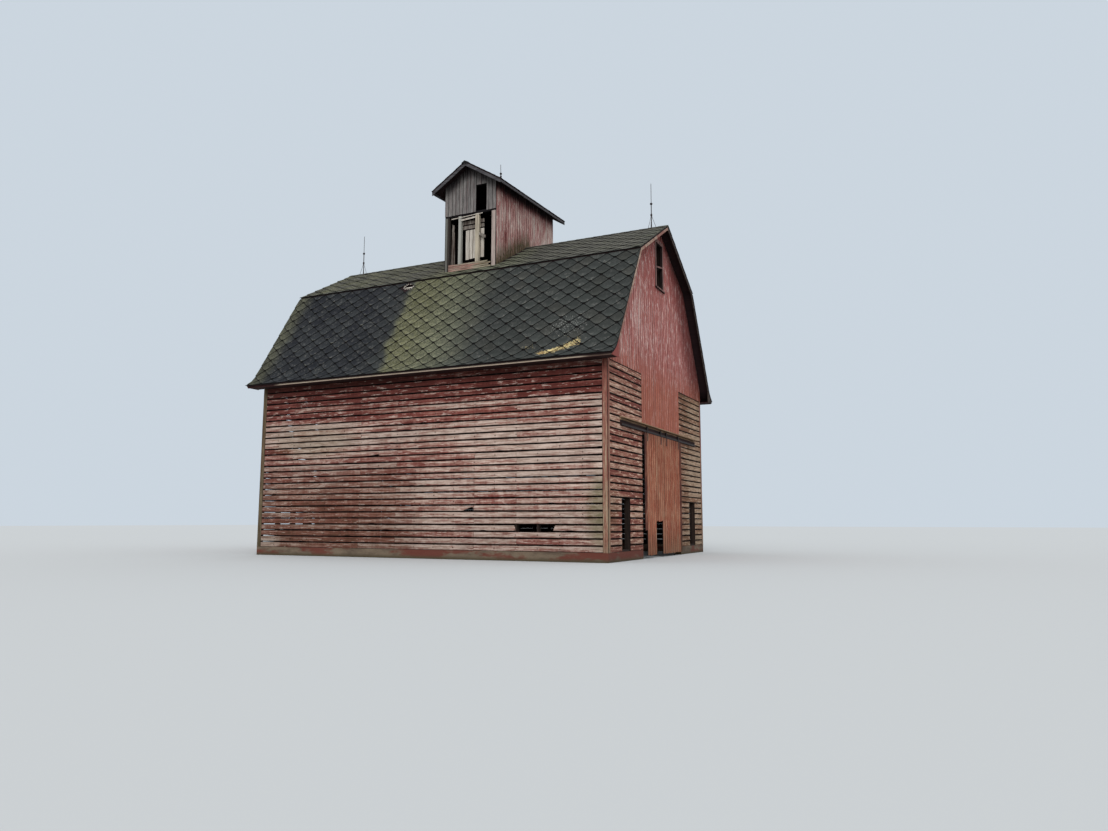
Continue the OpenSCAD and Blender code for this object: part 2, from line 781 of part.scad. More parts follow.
// Cupola frame: corner posts, plates, belt girts and the open studs of the front
module cupola_frame() {
    post_half = cupola_half - slat_thickness;
    inner_face = post_front - cupola_post_depth;
    color(grey_wood) translate([cupola_x, 0, 0]) difference() {
        union() {
            for (y = [-post_front, inner_face]) {
                head = cupola_wall_top + lean_rise(y);
                for (x = [-post_half, post_half - cupola_post])
                    block([x, y, cupola_foot_z - 100],
                        [x + cupola_post, y + cupola_post_depth, head]);
                block([-post_half, y, head - cupola_post_depth], [post_half, y + cupola_post_depth, head]);
                block([-post_half, y, girt_z - girt_height], [post_half, y + cupola_post_depth, girt_z]);
            }
            for (x = [-post_half, post_half - cupola_post_depth]) across(x, x + cupola_post_depth)
                polygon([for (p = [[-1, -1], [1, -1], [1, 0], [-1, 0]]) [p[0] * post_front,
                    cupola_wall_top + lean_rise(p[0] * post_front) + p[1] * cupola_post_depth]]);
            for (s = [[stud_a_x, stud_a_width], [stud_b_x, stud_b_width]])
                translate([s[0] - s[1] / 2, -post_front, cupola_foot_z])
                    cube([s[1], cupola_post_depth, girt_z - cupola_foot_z]);
        }
        translate([-cupola_x, 0, 0]) below_main_roof();
    }
}

// Outline of the cupola's gable, from a level up to the roof deck over a given y
module cupola_gable(z_low, y) {
    rise = lean_rise(y);
    polygon([[-cupola_half, z_low], [-cupola_half, cupola_wall_top + rise], [0, cupola_gable_top + rise],
        [cupola_half, cupola_wall_top + rise], [cupola_half, z_low]]);
}

// Places a shape drawn on the cupola's gable so that it runs from y_start to y_end
module cupola_face(y_start, y_end) {
    translate([cupola_x, y_end, 0]) rotate([90, 0, 0]) linear_extrude(y_end - y_start) children();
}

// Upper boards of the front gable, with the slot that lost its boards
module cupola_gable_boards() {
    color(grey_wood) cupola_face(-cupola_half_depth, -post_front) difference() {
        cupola_gable(girt_z - girt_height / 2, -cupola_half_depth);
        translate([slot_x - slot_width / 2, girt_z - girt_height])
            square([slot_width, girt_height + slot_height]);
    }
}

module cupola_back_boards() {
    color(grey_wood) difference() {
        cupola_face(post_front, cupola_half_depth) cupola_gable(cupola_foot_z - 100, post_front);
        below_main_roof();
    }
}

module cupola_side_boards() {
    foot = upper_at(0, post_front);
    color(worn_red) for (sx = [-1, 1]) {
        x = cupola_x + sx * (cupola_half - slat_thickness / 2);
        across(x - slat_thickness / 2, x + slat_thickness / 2)
            polygon([[-post_front, cupola_wall_top + lean_rise(-post_front)],
                [post_front, cupola_wall_top + lean_rise(post_front)],
                foot, ridge_point, [-foot[0], foot[1]]]);
    }
}

module cupola_base_board() {
    half = cupola_half - slat_thickness - cupola_post;
    color(red_paint) difference() {
        cupola_face(-cupola_half_depth, -post_front)
            translate([-half, cupola_foot_z - 100]) square([2 * half, base_board_height + 100]);
        below_main_roof();
    }
}

// Old boarded panel behind the studs, with the boards nailed across its head
module cupola_inner_panel() {
    face = post_front - cupola_post_depth;
    foot = base_board_top + panel_lift;
    color(bare_wood) {
        cupola_face(-face, -face + slat_thickness)
            translate([panel_start, foot]) square([panel_width, panel_height]);
        for (i = [0 : 1])
            cupola_face(-face, -face + slat_thickness)
                translate([stud_a_x + stud_a_width / 2 - 40, foot + panel_height + 30 + i * 150])
                    square([panel_start + panel_width - stud_a_x - stud_a_width / 2 + 40, 120]);
    }
}

// One slope of the cupola's roof
module cupola_slope_deck(sx) {
    run = cupola_half + cupola_eave;
    drop = run * cupola_slope;
    leaning()
        cupola_face(-cupola_half_depth - cupola_gable_overhang, cupola_half_depth + cupola_gable_overhang)
        polygon([[0, cupola_ridge_z], [sx * run, cupola_ridge_z - drop],
            [sx * run, cupola_ridge_z - drop - cupola_deck_drop],
            [0, cupola_ridge_z - cupola_deck_drop]]);
}
module cupola_roof_left() { color(shingle) cupola_slope_deck(-1); }
module cupola_roof_right() { color(shingle) cupola_slope_deck(1); }

// Boards under the edges of the cupola's roof, along its gables and between them along its eaves
module cupola_rake_boards() {
    run = cupola_half + cupola_eave;
    end = cupola_half_depth + cupola_gable_overhang;
    top = cupola_ridge_z - cupola_deck_drop;
    low = top - run * cupola_slope;
    depth = 95;
    color(bare_wood) leaning() {
        both_sides() cupola_face(end - trim_thickness, end)
            polygon([[0, top], [run, low], [run, low - depth],
                [0, top - depth], [-run, low - depth], [-run, low]]);
        for (sx = [-1, 1])
            cupola_face(-end + trim_thickness + fit_gap, end - trim_thickness - fit_gap)
                polygon([[sx * run, low], [sx * run, low - cupola_eave_board],
                    [sx * (run - trim_thickness), low - cupola_eave_board],
                    [sx * (run - trim_thickness), low + trim_thickness * cupola_slope]]);
    }
}

// One lightning rod on a tripod that straddles a ridge of the given slope
module lightning_rod(height, slope) {
    ball_z = 0.54 * height;
    thin = 0.6 * rod_radius;
    clamp = 2.2 * rod_radius;
    hold = min(tripod_height, 0.4 * height);
    translate([0, 0, 5]) cylinder(r = rod_radius, h = ball_z - 5);
    translate([0, 0, ball_z]) cylinder(r = thin, h = height - ball_z - 3 * rod_radius);
    translate([0, 0, height - 3 * rod_radius])
        cylinder(r1 = thin, r2 = 1, h = 3 * rod_radius);
    translate([0, 0, ball_z]) sphere(r = ball_radius);
    translate([0, 0, hold - clamp]) cylinder(r = clamp, h = 2 * clamp);
    for (a = [0, 120, 240]) {
        foot = [tripod_spread * cos(a), tripod_spread * sin(a)];
        drop = hold + slope * abs(foot[1]);
        lean = atan2(tripod_spread, drop);
        leg = norm([tripod_spread, drop]);
        steep = unit([foot[0], foot[1], -drop]) * unit([0, -slope * sign(foot[1]), -1]);
        short = (fit_gap + leg_radius * sqrt(1 - steep * steep)) / steep;
        translate([0, 0, hold]) rotate([0, 180 - lean, a])
            cylinder(r = leg_radius, h = leg - short);
    }
}

module lightning_rods() {
    color(iron) {
        for (sx = [-1, 1])
            translate([sx * (half_length + gable_overhang - rod_setin), 0, ridge_z])
                lightning_rod(rod_height, main_slope);
        leaning() translate([cupola_x, cupola_rod_y, cupola_ridge_z]) rotate([0, 0, 90])
            lightning_rod(cupola_rod_height, cupola_slope);
    }
}

foundation();
front_frame();
back_frame();
crib_end_frames();
gable_frames();
front_slats();
back_slats();
right_crib_slats();
left_crib_slats();
right_gable_boards();
left_gable_boards();
corner_boards();
window_frames();
door_tracks();
door_rails();
front_door_boards();
front_door_ledges();
front_door_hangers();
back_door_boards();
back_door_ledges();
back_door_hangers();
far_door_boards();
far_door_ledges();
far_door_hangers();
lower_roof_front();
lower_roof_back();
upper_roof_front();
upper_roof_back();
eave_fascias();
eave_soffits();
rake_boards();
lower_rafters();
upper_rafters();
ridge_board();
collar_ties();
cupola_frame();
cupola_gable_boards();
cupola_back_boards();
cupola_side_boards();
cupola_base_board();
cupola_inner_panel();
cupola_roof_left();
cupola_roof_right();
cupola_rake_boards();
lightning_rods();
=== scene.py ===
"""The looks of a drive-through corn crib barn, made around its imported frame.

X runs along the ridge, the long front wall faces -Y, Z is up, and every length is in metres.
"""
import math
import random

import bpy
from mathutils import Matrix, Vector, noise


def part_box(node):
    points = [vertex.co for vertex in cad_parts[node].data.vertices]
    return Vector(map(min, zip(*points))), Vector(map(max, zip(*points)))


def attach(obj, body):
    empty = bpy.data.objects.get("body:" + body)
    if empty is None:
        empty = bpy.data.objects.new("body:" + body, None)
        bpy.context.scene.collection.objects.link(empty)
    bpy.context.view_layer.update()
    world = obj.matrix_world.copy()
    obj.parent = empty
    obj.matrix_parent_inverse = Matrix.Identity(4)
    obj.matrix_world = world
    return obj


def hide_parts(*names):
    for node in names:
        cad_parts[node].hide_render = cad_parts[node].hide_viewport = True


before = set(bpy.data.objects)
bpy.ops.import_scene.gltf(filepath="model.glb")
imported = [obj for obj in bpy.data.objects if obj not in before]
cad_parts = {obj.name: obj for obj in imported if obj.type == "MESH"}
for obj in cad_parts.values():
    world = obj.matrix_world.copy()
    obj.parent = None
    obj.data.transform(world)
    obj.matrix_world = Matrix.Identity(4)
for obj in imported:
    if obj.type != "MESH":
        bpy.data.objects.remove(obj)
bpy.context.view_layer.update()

# The camera, at the photograph's angle
camera = bpy.data.objects.new("camera", bpy.data.cameras.new("camera"))
camera.data.sensor_width = 36.0
camera.data.lens = 26.54
camera.data.clip_end = 400.0
camera.location = (12.653, -22.061, 0.955)
camera.rotation_euler = (math.radians(97.411), math.radians(-0.07), math.radians(25.541))
bpy.context.scene.collection.objects.link(camera)
bpy.context.scene.camera = camera

# Walls, with their sizes taken from the frame's nodes where a box gives them
gable_low, gable_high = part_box("right_gable_boards")
slats_low, slats_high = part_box("front_slats")
FACE_X = gable_high.x
FACE_Y = gable_high.y
BACK_X = gable_low.x
BOARD = FACE_X - BACK_X
BASE_TOP = slats_low.z
SLAT_END = slats_high.x
SLAT_ROWS = 28
SLAT_GAP = 0.025
SLAT_PITCH = (slats_high.z - BASE_TOP + SLAT_GAP) / SLAT_ROWS
SLAT_HEIGHT = SLAT_PITCH - SLAT_GAP
WALL_TOP = BASE_TOP + SLAT_ROWS * SLAT_PITCH
STUD_BAYS = 18
STUD_SPAN = BACK_X - 0.0225
STUD_PITCH = 2 * STUD_SPAN / STUD_BAYS
STUDS = [STUD_SPAN * (2 * i / STUD_BAYS - 1) for i in range(1, STUD_BAYS)]
CRIB_END_STUDS = {1: (1.72, 2.597, 3.242, 3.609, 3.94), -1: (1.72, 2.267, 2.837, 3.406, 3.94)}
CORNER_WIDTH = 0.14
CORNER_PROUD = 0.003
ALLEY_HALF = 1.675
DOORWAY_TOP = gable_low.z
HATCH = (2.62, 3.22)
HATCH_ROWS = 8
WINDOW_EDGE = 0.323
WINDOW_FOOT = 7.63
WINDOW_TOP = 9.03

# Door leaves
leaf_low, leaf_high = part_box("back_door_boards")
LEAF_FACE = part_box("front_door_ledges")[1].x
LEAF_FOOT = leaf_low.z
LEAF_TOP = leaf_high.z
LEAF_BOARDS = 9
LEAF_PITCH = (leaf_high.y - leaf_low.y) / LEAF_BOARDS

# Cross-section of the main roof, on the +Y side
RIDGE_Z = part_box("upper_roof_back")[1].z
ROOF_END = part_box("upper_roof_back")[1].x
KNEE_Y = 2.4
KNEE_Z = RIDGE_Z - 1.38
EAVE_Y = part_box("lower_roof_back")[1].y
EAVE_Z = KNEE_Z - 3.205
FLARE_Y = EAVE_Y - 0.38
FLARE_Z = EAVE_Z + 0.34
FLAT_SLOPE = 0.575
STEEP_SLOPE = 1.637
FLAT_DECK_DROP = 0.0465
STEEP_DECK_DROP = 0.0785
DECK = 0.04
LIP = 0.06

# Cupola
cupola_low, cupola_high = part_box("cupola_gable_boards")
sides_low, sides_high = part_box("cupola_side_boards")
CUP_X = (sides_low.x + sides_high.x) / 2
CUP_HALF = sides_high.x - CUP_X
CUP_FRONT = cupola_low.y
CUP_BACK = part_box("cupola_back_boards")[1].y
CUP_RIDGE_Z = RIDGE_Z + 2.135
CUP_PEAK = cupola_high.z
CUP_BOARDS_FOOT = cupola_low.z
CUP_SLOPE = 0.615
CUP_LEAN = math.radians(2.6)
CUP_WALL_TOP = CUP_PEAK - CUP_HALF * CUP_SLOPE
CUP_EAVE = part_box("cupola_roof_right")[1].x - CUP_X
CUP_END = 0.302 - CUP_FRONT
CUP_BOARDS = 14
SLOT = (CUP_X + 0.205, CUP_X + 0.565)
SLOT_TOP = CUP_BOARDS_FOOT + 0.835
SIDE_BOARDS = 26

X_AXIS = Vector((1, 0, 0))
Y_AXIS = Vector((0, 1, 0))
Z_AXIS = Vector((0, 0, 1))
chance = random.Random(11)


def smooth(low, high, value):
    """0 at low, 1 at high, and an even curve between."""
    share = min(1.0, max(0.0, (value - low) / (high - low)))
    return share * share * (3 - 2 * share)


def patch(x, z, middle_x, middle_z, reach_x, reach_z):
    """1 in the middle of an oval area and 0 at its rim."""
    return 1 - smooth(0.4, 1.0, math.hypot((x - middle_x) / reach_x, (z - middle_z) / reach_z))


def drift(x, z, size, seed):
    """Slow even noise between about -1 and 1."""
    return noise.noise(Vector((x / size, z / size, seed)))


def lean_rise(y):
    """How far the cupola's sunken roof rises above its front end."""
    return (y - CUP_FRONT) * math.tan(CUP_LEAN)


class Mesh:
    """Points, faces and painted values of one joined piece."""

    def __init__(self, *names):
        self.points = []
        self.faces = []
        self.values = {name: [] for name in names}

    def add(self, points, faces, values):
        """Adds a loose part. values holds one dictionary for each point."""
        start = len(self.points)
        self.points += [tuple(point) for point in points]
        self.faces += [[start + i for i in face] for face in faces]
        for name, kept in self.values.items():
            kept += [value.get(name, 0.0) for value in values]

    def build(self, name, material, slot, replaced=None, body="building"):
        """Makes the Blender object, which rides on its body and may stand for one node of the frame."""
        data = bpy.data.meshes.new(name)
        data.from_pydata(self.points, [], self.faces)
        for value_name, kept in self.values.items():
            data.attributes.new(value_name, "FLOAT", "POINT").data.foreach_set("value", kept)
        data.materials.append(material)
        data.update()
        piece = bpy.data.objects.new(name, data)
        bpy.context.scene.collection.objects.link(piece)
        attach(piece, body)
        if replaced:
            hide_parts(replaced)


def boards():
    """An empty piece of boards."""
    return Mesh("tone", "paint", "grime", "green", "shade")


# Cross-section of a board: share of its width, share of its thickness, and how dark that line gets as
# painted shade
SECTION = ((0.0, 0.0, 1.0), (0.0, 0.84, 1.0), (0.04, 1.0, 0.95), (0.15, 1.0, 0.0), (0.5, 0.96, 0.0),
           (0.92, 1.0, 0.0), (0.965, 1.0, 0.7), (1.0, 0.84, 1.0), (1.0, 0.0, 1.0))


def plank(mesh, corner, along, across, out, width, start, end, wear, thick=BOARD,
          step=0.2, edge=0.0015, ragged=(0.0, 0.0), chips=0.0, tone=None, notch=None):
    """A weathered board from its lower back corner.

    start and end say where it starts and ends, as one number or as one for each long edge. ragged says how
    far each end's splinters fall short, and chips how deep its lower edge is broken in places. notch holds
    where one large piece is broken off that edge, and how deep the break is at its last end.
    """
    corner = Vector(corner)
    start, end = [(place, place) if isinstance(place, float) else place for place in (start, end)]
    tone = chance.random() if tone is None else tone
    seed = chance.uniform(0, 500)
    bow = chance.uniform(-1, 1) * 0.0015
    length = (sum(end) - sum(start)) / 2
    count = max(1, round(length / step))
    size = len(SECTION)
    points = []
    values = []
    for column in range(count + 1):
        share = column / count
        place = share * length
        wobble = [edge * noise.noise(Vector((place / 0.35, seed, side))) for side in (0.0, 7.0)]
        chip = chips * smooth(0.38, 0.6, noise.noise(Vector((place / 0.16, seed, 3.0))))
        for across_share, depth_share, shade in SECTION:
            first = start[0] + (start[1] - start[0]) * across_share
            last = end[0] + (end[1] - end[0]) * across_share
            if column == 0:
                first += ragged[0] * chance.random()
            if column == count:
                last -= ragged[1] * chance.random()
            run = first + (last - first) * share
            side = across_share * width + wobble[across_share > 0.4]
            if across_share < 0.1:
                side += chip
            if notch and notch[0] < run < notch[1]:
                side = max(side, notch[2] * smooth(notch[0], notch[1], run) + 0.02 * across_share)
            lift = depth_share * thick + bow * math.sin(math.pi * share)
            point = corner + along * run + across * side + out * max(lift, -0.002)
            points.append(point)
            values.append({"tone": tone, "shade": shade, **wear(*point, tone)})
    faces = []
    for a in range(0, count * size, size):
        for i in range(size):
            j = (i + 1) % size
            faces.append([a + i, a + j, a + size + j, a + size + i])
    faces += [list(range(size)), [count * size + i for i in reversed(range(size))]]
    mesh.add(points, faces, values)


NAIL_RADIUS = 0.0035


def nail(mesh, place, out):
    """A rusty nail head that stands out of a board."""
    point = Vector(place)
    side = out.cross(Z_AXIS).normalized() * NAIL_RADIUS
    rise = side.cross(out)
    turns = [i * math.tau / 6 for i in range(6)]
    points = [point + side * math.cos(turn) + rise * math.sin(turn) for turn in turns]
    rusty = {"tone": 0.3, "grime": 1.0}
    mesh.add(points + [point + out * 0.002], [[i, (i + 1) % 6, 6] for i in range(6)], [rusty] * 7)


# How worn the boards are, place by place

def worn(paint, grime, green=0.0):
    """The painted values of one point."""
    return {"paint": paint, "grime": max(0.0, grime), "green": green}


# Ovals of the front wall with more paint or less: how much, the middle, and the reach each way
PAINT_PATCHES = (
    (-0.30, -3.2, 3.3, 2.6, 0.75), (0.45, -4.9, 2.95, 0.9, 0.12), (0.20, -2.75, 1.45, 0.8, 0.35),
    (0.18, 2.6, 1.7, 1.6, 0.3), (-0.22, 3.2, 2.6, 2.6, 1.0), (-0.5, -5.0, 0.3, 0.6, 0.3))


def front_wear(x, y, z, tone):
    """The front wall, whose top rows kept most of their paint."""
    right = smooth(-1.2, 1.2, x)
    left = 1 - right
    top_rows = smooth(4.0, 4.2, z + 0.10 * drift(x, 0.0, 0.7, 5.0) - 0.12 * left)
    in_board = math.fmod(z - BASE_TOP + SLAT_PITCH, SLAT_PITCH) / SLAT_HEIGHT
    bay = math.floor((x + STUD_SPAN) / STUD_PITCH)
    row = math.floor((z - BASE_TOP) / SLAT_PITCH)
    paint = 0.42 - 0.07 * right + 0.06 * drift(x, z * 2, 0.9, 1.0) + 0.42 * (tone - 0.5)
    # Each slat keeps more paint toward its lower edge and less toward its top, so it is darker below and
    # paler above, partly as painted shade
    paint += 0.06 * (noise.cell(Vector((bay + 0.5, row + 0.5, 3.0))) - 0.5) + 0.22 * (0.5 - in_board)
    paint += 0.60 * top_rows + 0.19 * left * smooth(2.6, 2.2, z)
    paint += (1 - top_rows) * (0.35 * left * smooth(3.72, 3.84, z) + 0.12 * right * smooth(3.3, 3.9, z)
                               - 0.40 * smooth(5.0, 5.3, x))
    paint += sum(weight * patch(x, z, *oval) for weight, *oval in PAINT_PATCHES)
    paint -= 0.45 * top_rows * smooth(0.2, 0.6, drift(x, z * 5, 0.5, 6.0)) * smooth(4.4, 4.6, z)
    grime = 0.05 + left * (0.10 + 0.12 * smooth(3.0, 2.4, z)) + 0.18 * smooth(1.3, 0.4, z)
    # The last term is painted shade on the top rows, under the eave
    grime += 0.12 * drift(x, z, 0.7, 8.0) + 0.32 * smooth(4.55, 4.9, z)
    green = 0.35 * patch(x, z, -3.6, 3.2, 2.0, 0.6) + 0.8 * patch(x, z, 5.3, 1.2, 0.5, 1.2)
    return worn(paint, grime, green + 0.18 * left * smooth(2.8, 1.6, z))


def back_wear(x, y, z, tone):
    """The back wall, as the front one turned round."""
    return front_wear(-x, y, z, tone)


def crib_end_wear(x, y, z, tone):
    """The slats of the crib ends."""
    paint = 0.44 + 0.14 * drift(y, z, 0.5, 11.0) + 0.55 * (tone - 0.5)
    paint += 0.10 * smooth(2.2, 1.6, z) + 0.16 * smooth(3.5, 4.2, z) - 0.34 * smooth(2.2, 3.0, y)
    grime = 0.02 + 0.20 * drift(y, z, 0.4, 12.0) + 0.3 * smooth(0.9, 0.2, z)
    return worn(paint, grime, 0.50 * smooth(0.5, 2.5, y) + 0.25 * patch(y, z, -3.8, 1.2, 0.5, 0.8))


def gable_wear(x, y, z, tone):
    """The upright boards of a gable."""
    # far lays painted shade, and more paint, on the upper part of the +Y half under the roof; the boards
    # also darken toward the top
    far = smooth(0.25, 0.9, y * 0.5 - 0.28 * (9.0 - z) + 0.2) if y > 0 else 0.0
    paint = 0.55 + 0.12 * drift(y, z, 0.9, 21.0) + 0.10 * (tone - 0.5) + 0.30 * far
    paint += 0.18 * smooth(6.8, 8.6, z) + 0.16 * smooth(5.6, 4.6, z)
    paint -= 0.16 * patch(y, z, -1.9, 6.5, 0.7, 0.9) + 0.10 * patch(y, z, -3.0, 5.2, 1.2, 0.6)
    grime = 0.10 * drift(y, z, 0.5, 22.0) + 0.20 * smooth(7.8, 9.2, z) + 0.6 * far
    return worn(paint, grime, 0.75 * smooth(5.8, 4.3, z))


def door_wear(x, y, z, tone):
    """The door leaves."""
    outer = smooth(1.44, 1.5, abs(y))
    paint = 0.46 + 0.24 * drift(y, z, 0.45, 31.0) + 0.16 * (tone - 0.5) + 0.45 * outer
    grime = 0.04 + 0.35 * smooth(1.0, 0.1, z) + 0.15 * drift(y, z, 0.4, 32.0)
    # The outer edges of the leaves get more paint and painted shade, and their tops painted shade under the
    # hood
    return worn(paint, grime + 0.5 * outer + 0.35 * smooth(3.05, 3.3, z), 0.25 * smooth(0.8, 0.1, z))


def corner_wear(x, y, z, tone):
    """The corner boards, greyer on the left than on the right."""
    right = smooth(0.0, 1.0, x)
    left = 1 - right
    paint = 0.36 + 0.20 * drift(x, z, 0.4, 41.0) - 0.09 * left - 0.15 * smooth(2.4, 1.6, z)
    grime = 0.12 + 0.75 * left + 0.3 * smooth(0.7, 0.1, z)
    return worn(paint, grime, 0.15 * right * smooth(2.4, 1.4, z) + 0.35 * left)


def silver_wear(x, y, z, tone):
    """The bare front of the cupola."""
    below_rake = CUP_PEAK - abs(x - CUP_X) * CUP_SLOPE - z
    grime = 0.10 + 0.5 * (tone - 0.4) + 0.3 * drift(x, z * 0.5, 0.2, 51.0)
    # A dark band just under the rakes is painted shade
    grime += 1.1 * smooth(0.34, 0.06, below_rake + 0.05 * drift(x, z, 0.08, 52.0))
    return worn(0.12, min(grime, 1.0))


def cupola_side_wear(x, y, z, tone):
    """The painted sides and back of the cupola."""
    foot = z - (RIDGE_Z - FLAT_SLOPE * abs(y))
    # eave is painted shade below the cupola's eave, where more of the dark paint is also left
    eave = smooth(0.46, 0.12, CUP_WALL_TOP + lean_rise(y) - z + 0.1 * drift(y, z, 0.12, 62.0))
    paint = 0.43 + 0.16 * (tone - 0.5) + 0.34 * drift(y + x, z * 0.5, 0.35, 61.0)
    paint += 0.5 * eave - 0.12 * smooth(-0.6, 0.8, y)
    return worn(paint, 1.1 * eave, 1.2 * smooth(0.7, 0.05, foot + 0.2 * drift(y, z * 0.3, 0.08, 63.0)))


def pale_wear(x, y, z, tone):
    """Dry pale boards."""
    return worn(0.05, 0.25 * tone)


def dark_wear(x, y, z, tone):
    """Boards nearly black with painted shade, inside the cupola."""
    return worn(0.0, 0.75 + 0.25 * tone)


def base_wear(x, y, z, tone):
    """Faded paint on the broken boards at the cupola's foot."""
    right = smooth(CUP_X + 0.05, CUP_X + 0.35, x)
    paint = 0.34 - 0.35 * right + 0.4 * (tone - 0.5) + 0.4 * drift(x, z, 0.12, 65.0)
    return worn(paint, min(0.15 + 0.9 * drift(x, z * 2, 0.09, 66.0), 0.9), 0.15 + 0.35 * right)


# Slats of the long walls, in boards between joints that change from row to row
JOINTS = ((-1.829, 1.829), (-4.267, -0.61, 3.048))
JOINT_HALF = 0.0015
SLAT_NAILS = (0.035, 0.108)
BROKEN_ROW = 3
BREAK = (3.09, 4.05)
BROKEN_SPANS = ((-SLAT_END, -1.83, 0.0, 0.0), (-1.827, BREAK[0], 0.0, 0.16),
                (BREAK[1] - 0.02, SLAT_END, 0.22, 0.0))
# A row, and where a piece broken off its slat starts and ends, and its depth
NOTCHES = {6: (1.42, 1.79, 0.10), 15: (-1.75, -1.2, 0.045)}
# Slats on the hidden sides are this much wider, so that light shows through mostly at the left
CLOSER = 0.022


def long_wall(mesh, side, wear):
    """The slats of one long wall, on the side of -Y or +Y."""
    front = side < 0
    out = Y_AXIS * side
    wide = SLAT_HEIGHT if front else SLAT_HEIGHT + CLOSER
    slack = 0.003 if front else 0.001
    for row in range(SLAT_ROWS):
        z = BASE_TOP + row * SLAT_PITCH
        broken = front and row == BROKEN_ROW
        cuts = [-SLAT_END, *JOINTS[row % 2], SLAT_END]
        spans = [(a + JOINT_HALF, b - JOINT_HALF, 0.0, 0.0) for a, b in zip(cuts, cuts[1:])]
        for first, last, *ragged in BROKEN_SPANS if broken else spans:
            corner = (0.0, side * (FACE_Y - BOARD), z + chance.uniform(-slack, slack))
            notch = NOTCHES.get(row) if front else None
            if notch and not first < notch[0] < last:
                notch = None
            plank(mesh, corner, X_AXIS, Z_AXIS, out, wide, first, last, wear, step=0.04 if notch else 0.16,
                  edge=0.004 if front else 0.002, ragged=ragged, chips=0.022 if front else 0.0, notch=notch)
        for x in STUDS:
            if broken and BREAK[0] - 0.15 < x < BREAK[1] + 0.2:
                continue
            for height in SLAT_NAILS:
                nail(mesh, (x, side * FACE_Y, z + height), out)


def crib_ends(mesh, side):
    """The slats of both cribs at one gable, on the side of -X or +X."""
    out = X_AXIS * side
    corner_start = FACE_Y - CORNER_WIDTH
    for half in (-1, 1):
        for row in range(SLAT_ROWS):
            z = BASE_TOP + row * SLAT_PITCH
            spans = [(ALLEY_HALF, corner_start)]
            if side > 0 and row < HATCH_ROWS:
                spans = [(ALLEY_HALF, HATCH[0]), (HATCH[1], corner_start)]
            for first, last in spans:
                corner = (side * BACK_X, 0.0, z + chance.uniform(-0.003, 0.003))
                wide = SLAT_HEIGHT
                if side < 0:
                    wide += CLOSER if half > 0 else chance.uniform(0.0, CLOSER)
                plank(mesh, corner, Y_AXIS * half, Z_AXIS, out, wide, first, last, crib_end_wear,
                      edge=0.004, chips=0.018)
                for y in CRIB_END_STUDS[side]:
                    if first < y < last:
                        nail(mesh, (side * FACE_X, half * y, z + 0.07), out)


front_slats, back_slats, right_ends, left_ends = [boards() for i in range(4)]
long_wall(front_slats, -1, front_wear)
long_wall(back_slats, 1, back_wear)
crib_ends(right_ends, 1)
crib_ends(left_ends, -1)


# Upright boards of the gables
GABLE_SEAM = 0.0015
GABLE_STUB = 0.004
GABLE_NAILS = (4.94, 6.4, 7.6)
gable_edges = [-FACE_Y]
for stop, count in ((-ALLEY_HALF, 14), (-WINDOW_EDGE, 8), (WINDOW_EDGE, 4), (ALLEY_HALF, 8), (FACE_Y, 14)):
    start = gable_edges[-1]
    gable_edges += [start + (stop - start) * (i + 1) / count for i in range(count)]


def under_roof(y):
    """Height of the deck's underside over a place across the gable."""
    steep = KNEE_Z - STEEP_SLOPE * (abs(y) - KNEE_Y) - STEEP_DECK_DROP
    return min(steep, RIDGE_Z - FLAT_SLOPE * abs(y) - FLAT_DECK_DROP)


def gable(mesh, side):
    """The upright boards of one gable."""
    out = X_AXIS * side
    for low, high in zip(gable_edges, gable_edges[1:]):
        middle = (low + high) / 2
        foot = DOORWAY_TOP if abs(middle) < ALLEY_HALF else WALL_TOP
        tops = [max(under_roof(y), foot + GABLE_STUB) for y in (low, high)]
        spans = [(foot, tops)]
        if abs(middle) < WINDOW_EDGE:
            spans = [(foot, WINDOW_FOOT), (WINDOW_TOP, tops)]
        tone = chance.random()
        for start, end in spans:
            plank(mesh, (side * BACK_X, low + GABLE_SEAM, 0.0), Z_AXIS, Y_AXIS, out,
                  high - low - 2 * GABLE_SEAM, start, end, gable_wear, step=0.35, edge=0.0012, tone=tone)
        for z in GABLE_NAILS:
            if foot < z < min(tops):
                for y in (low + 0.04, high - 0.04):
                    nail(mesh, (side * FACE_X, y, z), out)


right_gable, left_gable = boards(), boards()
gable(right_gable, 1)
gable(left_gable, -1)


# Door leaves
LEDGE_NAILS = (1.3, 2.2, 3.1)
# First and last place of feet lost from the front leaf, and the height to which they are lost
FRONT_LEAF_LOSSES = ((-0.66, -0.19, 0.95), (-1.65, -1.42, 0.71))


def leaf(mesh, side, half, losses=()):
    """The boards of one door leaf."""
    out = X_AXIS * side
    for i in range(LEAF_BOARDS):
        low = leaf_low.y + i * LEAF_PITCH
        first = half * low if half > 0 else -low - LEAF_PITCH
        foot = LEAF_FOOT + chance.uniform(0.0, 0.015)
        ragged = 0.01
        for loss_start, loss_end, height in losses:
            if loss_start < first + LEAF_PITCH / 2 < loss_end:
                foot = height
                ragged = 0.06
        feet = (foot, foot + chance.uniform(-0.01, 0.02))
        plank(mesh, (side * LEAF_FACE, first + 0.002, 0.0), Z_AXIS, Y_AXIS, out, LEAF_PITCH - 0.004,
              feet, LEAF_TOP, door_wear, step=0.35, edge=0.002, ragged=(ragged, 0.0))
        for z in LEDGE_NAILS:
            nail(mesh, (side * (LEAF_FACE + BOARD), first + LEAF_PITCH / 2, z), out)


front_leaf, back_leaf, far_leaves = [boards() for i in range(3)]
leaf(front_leaf, 1, -1, FRONT_LEAF_LOSSES)
leaf(back_leaf, 1, 1)
leaf(far_leaves, -1, -1)
leaf(far_leaves, -1, 1)


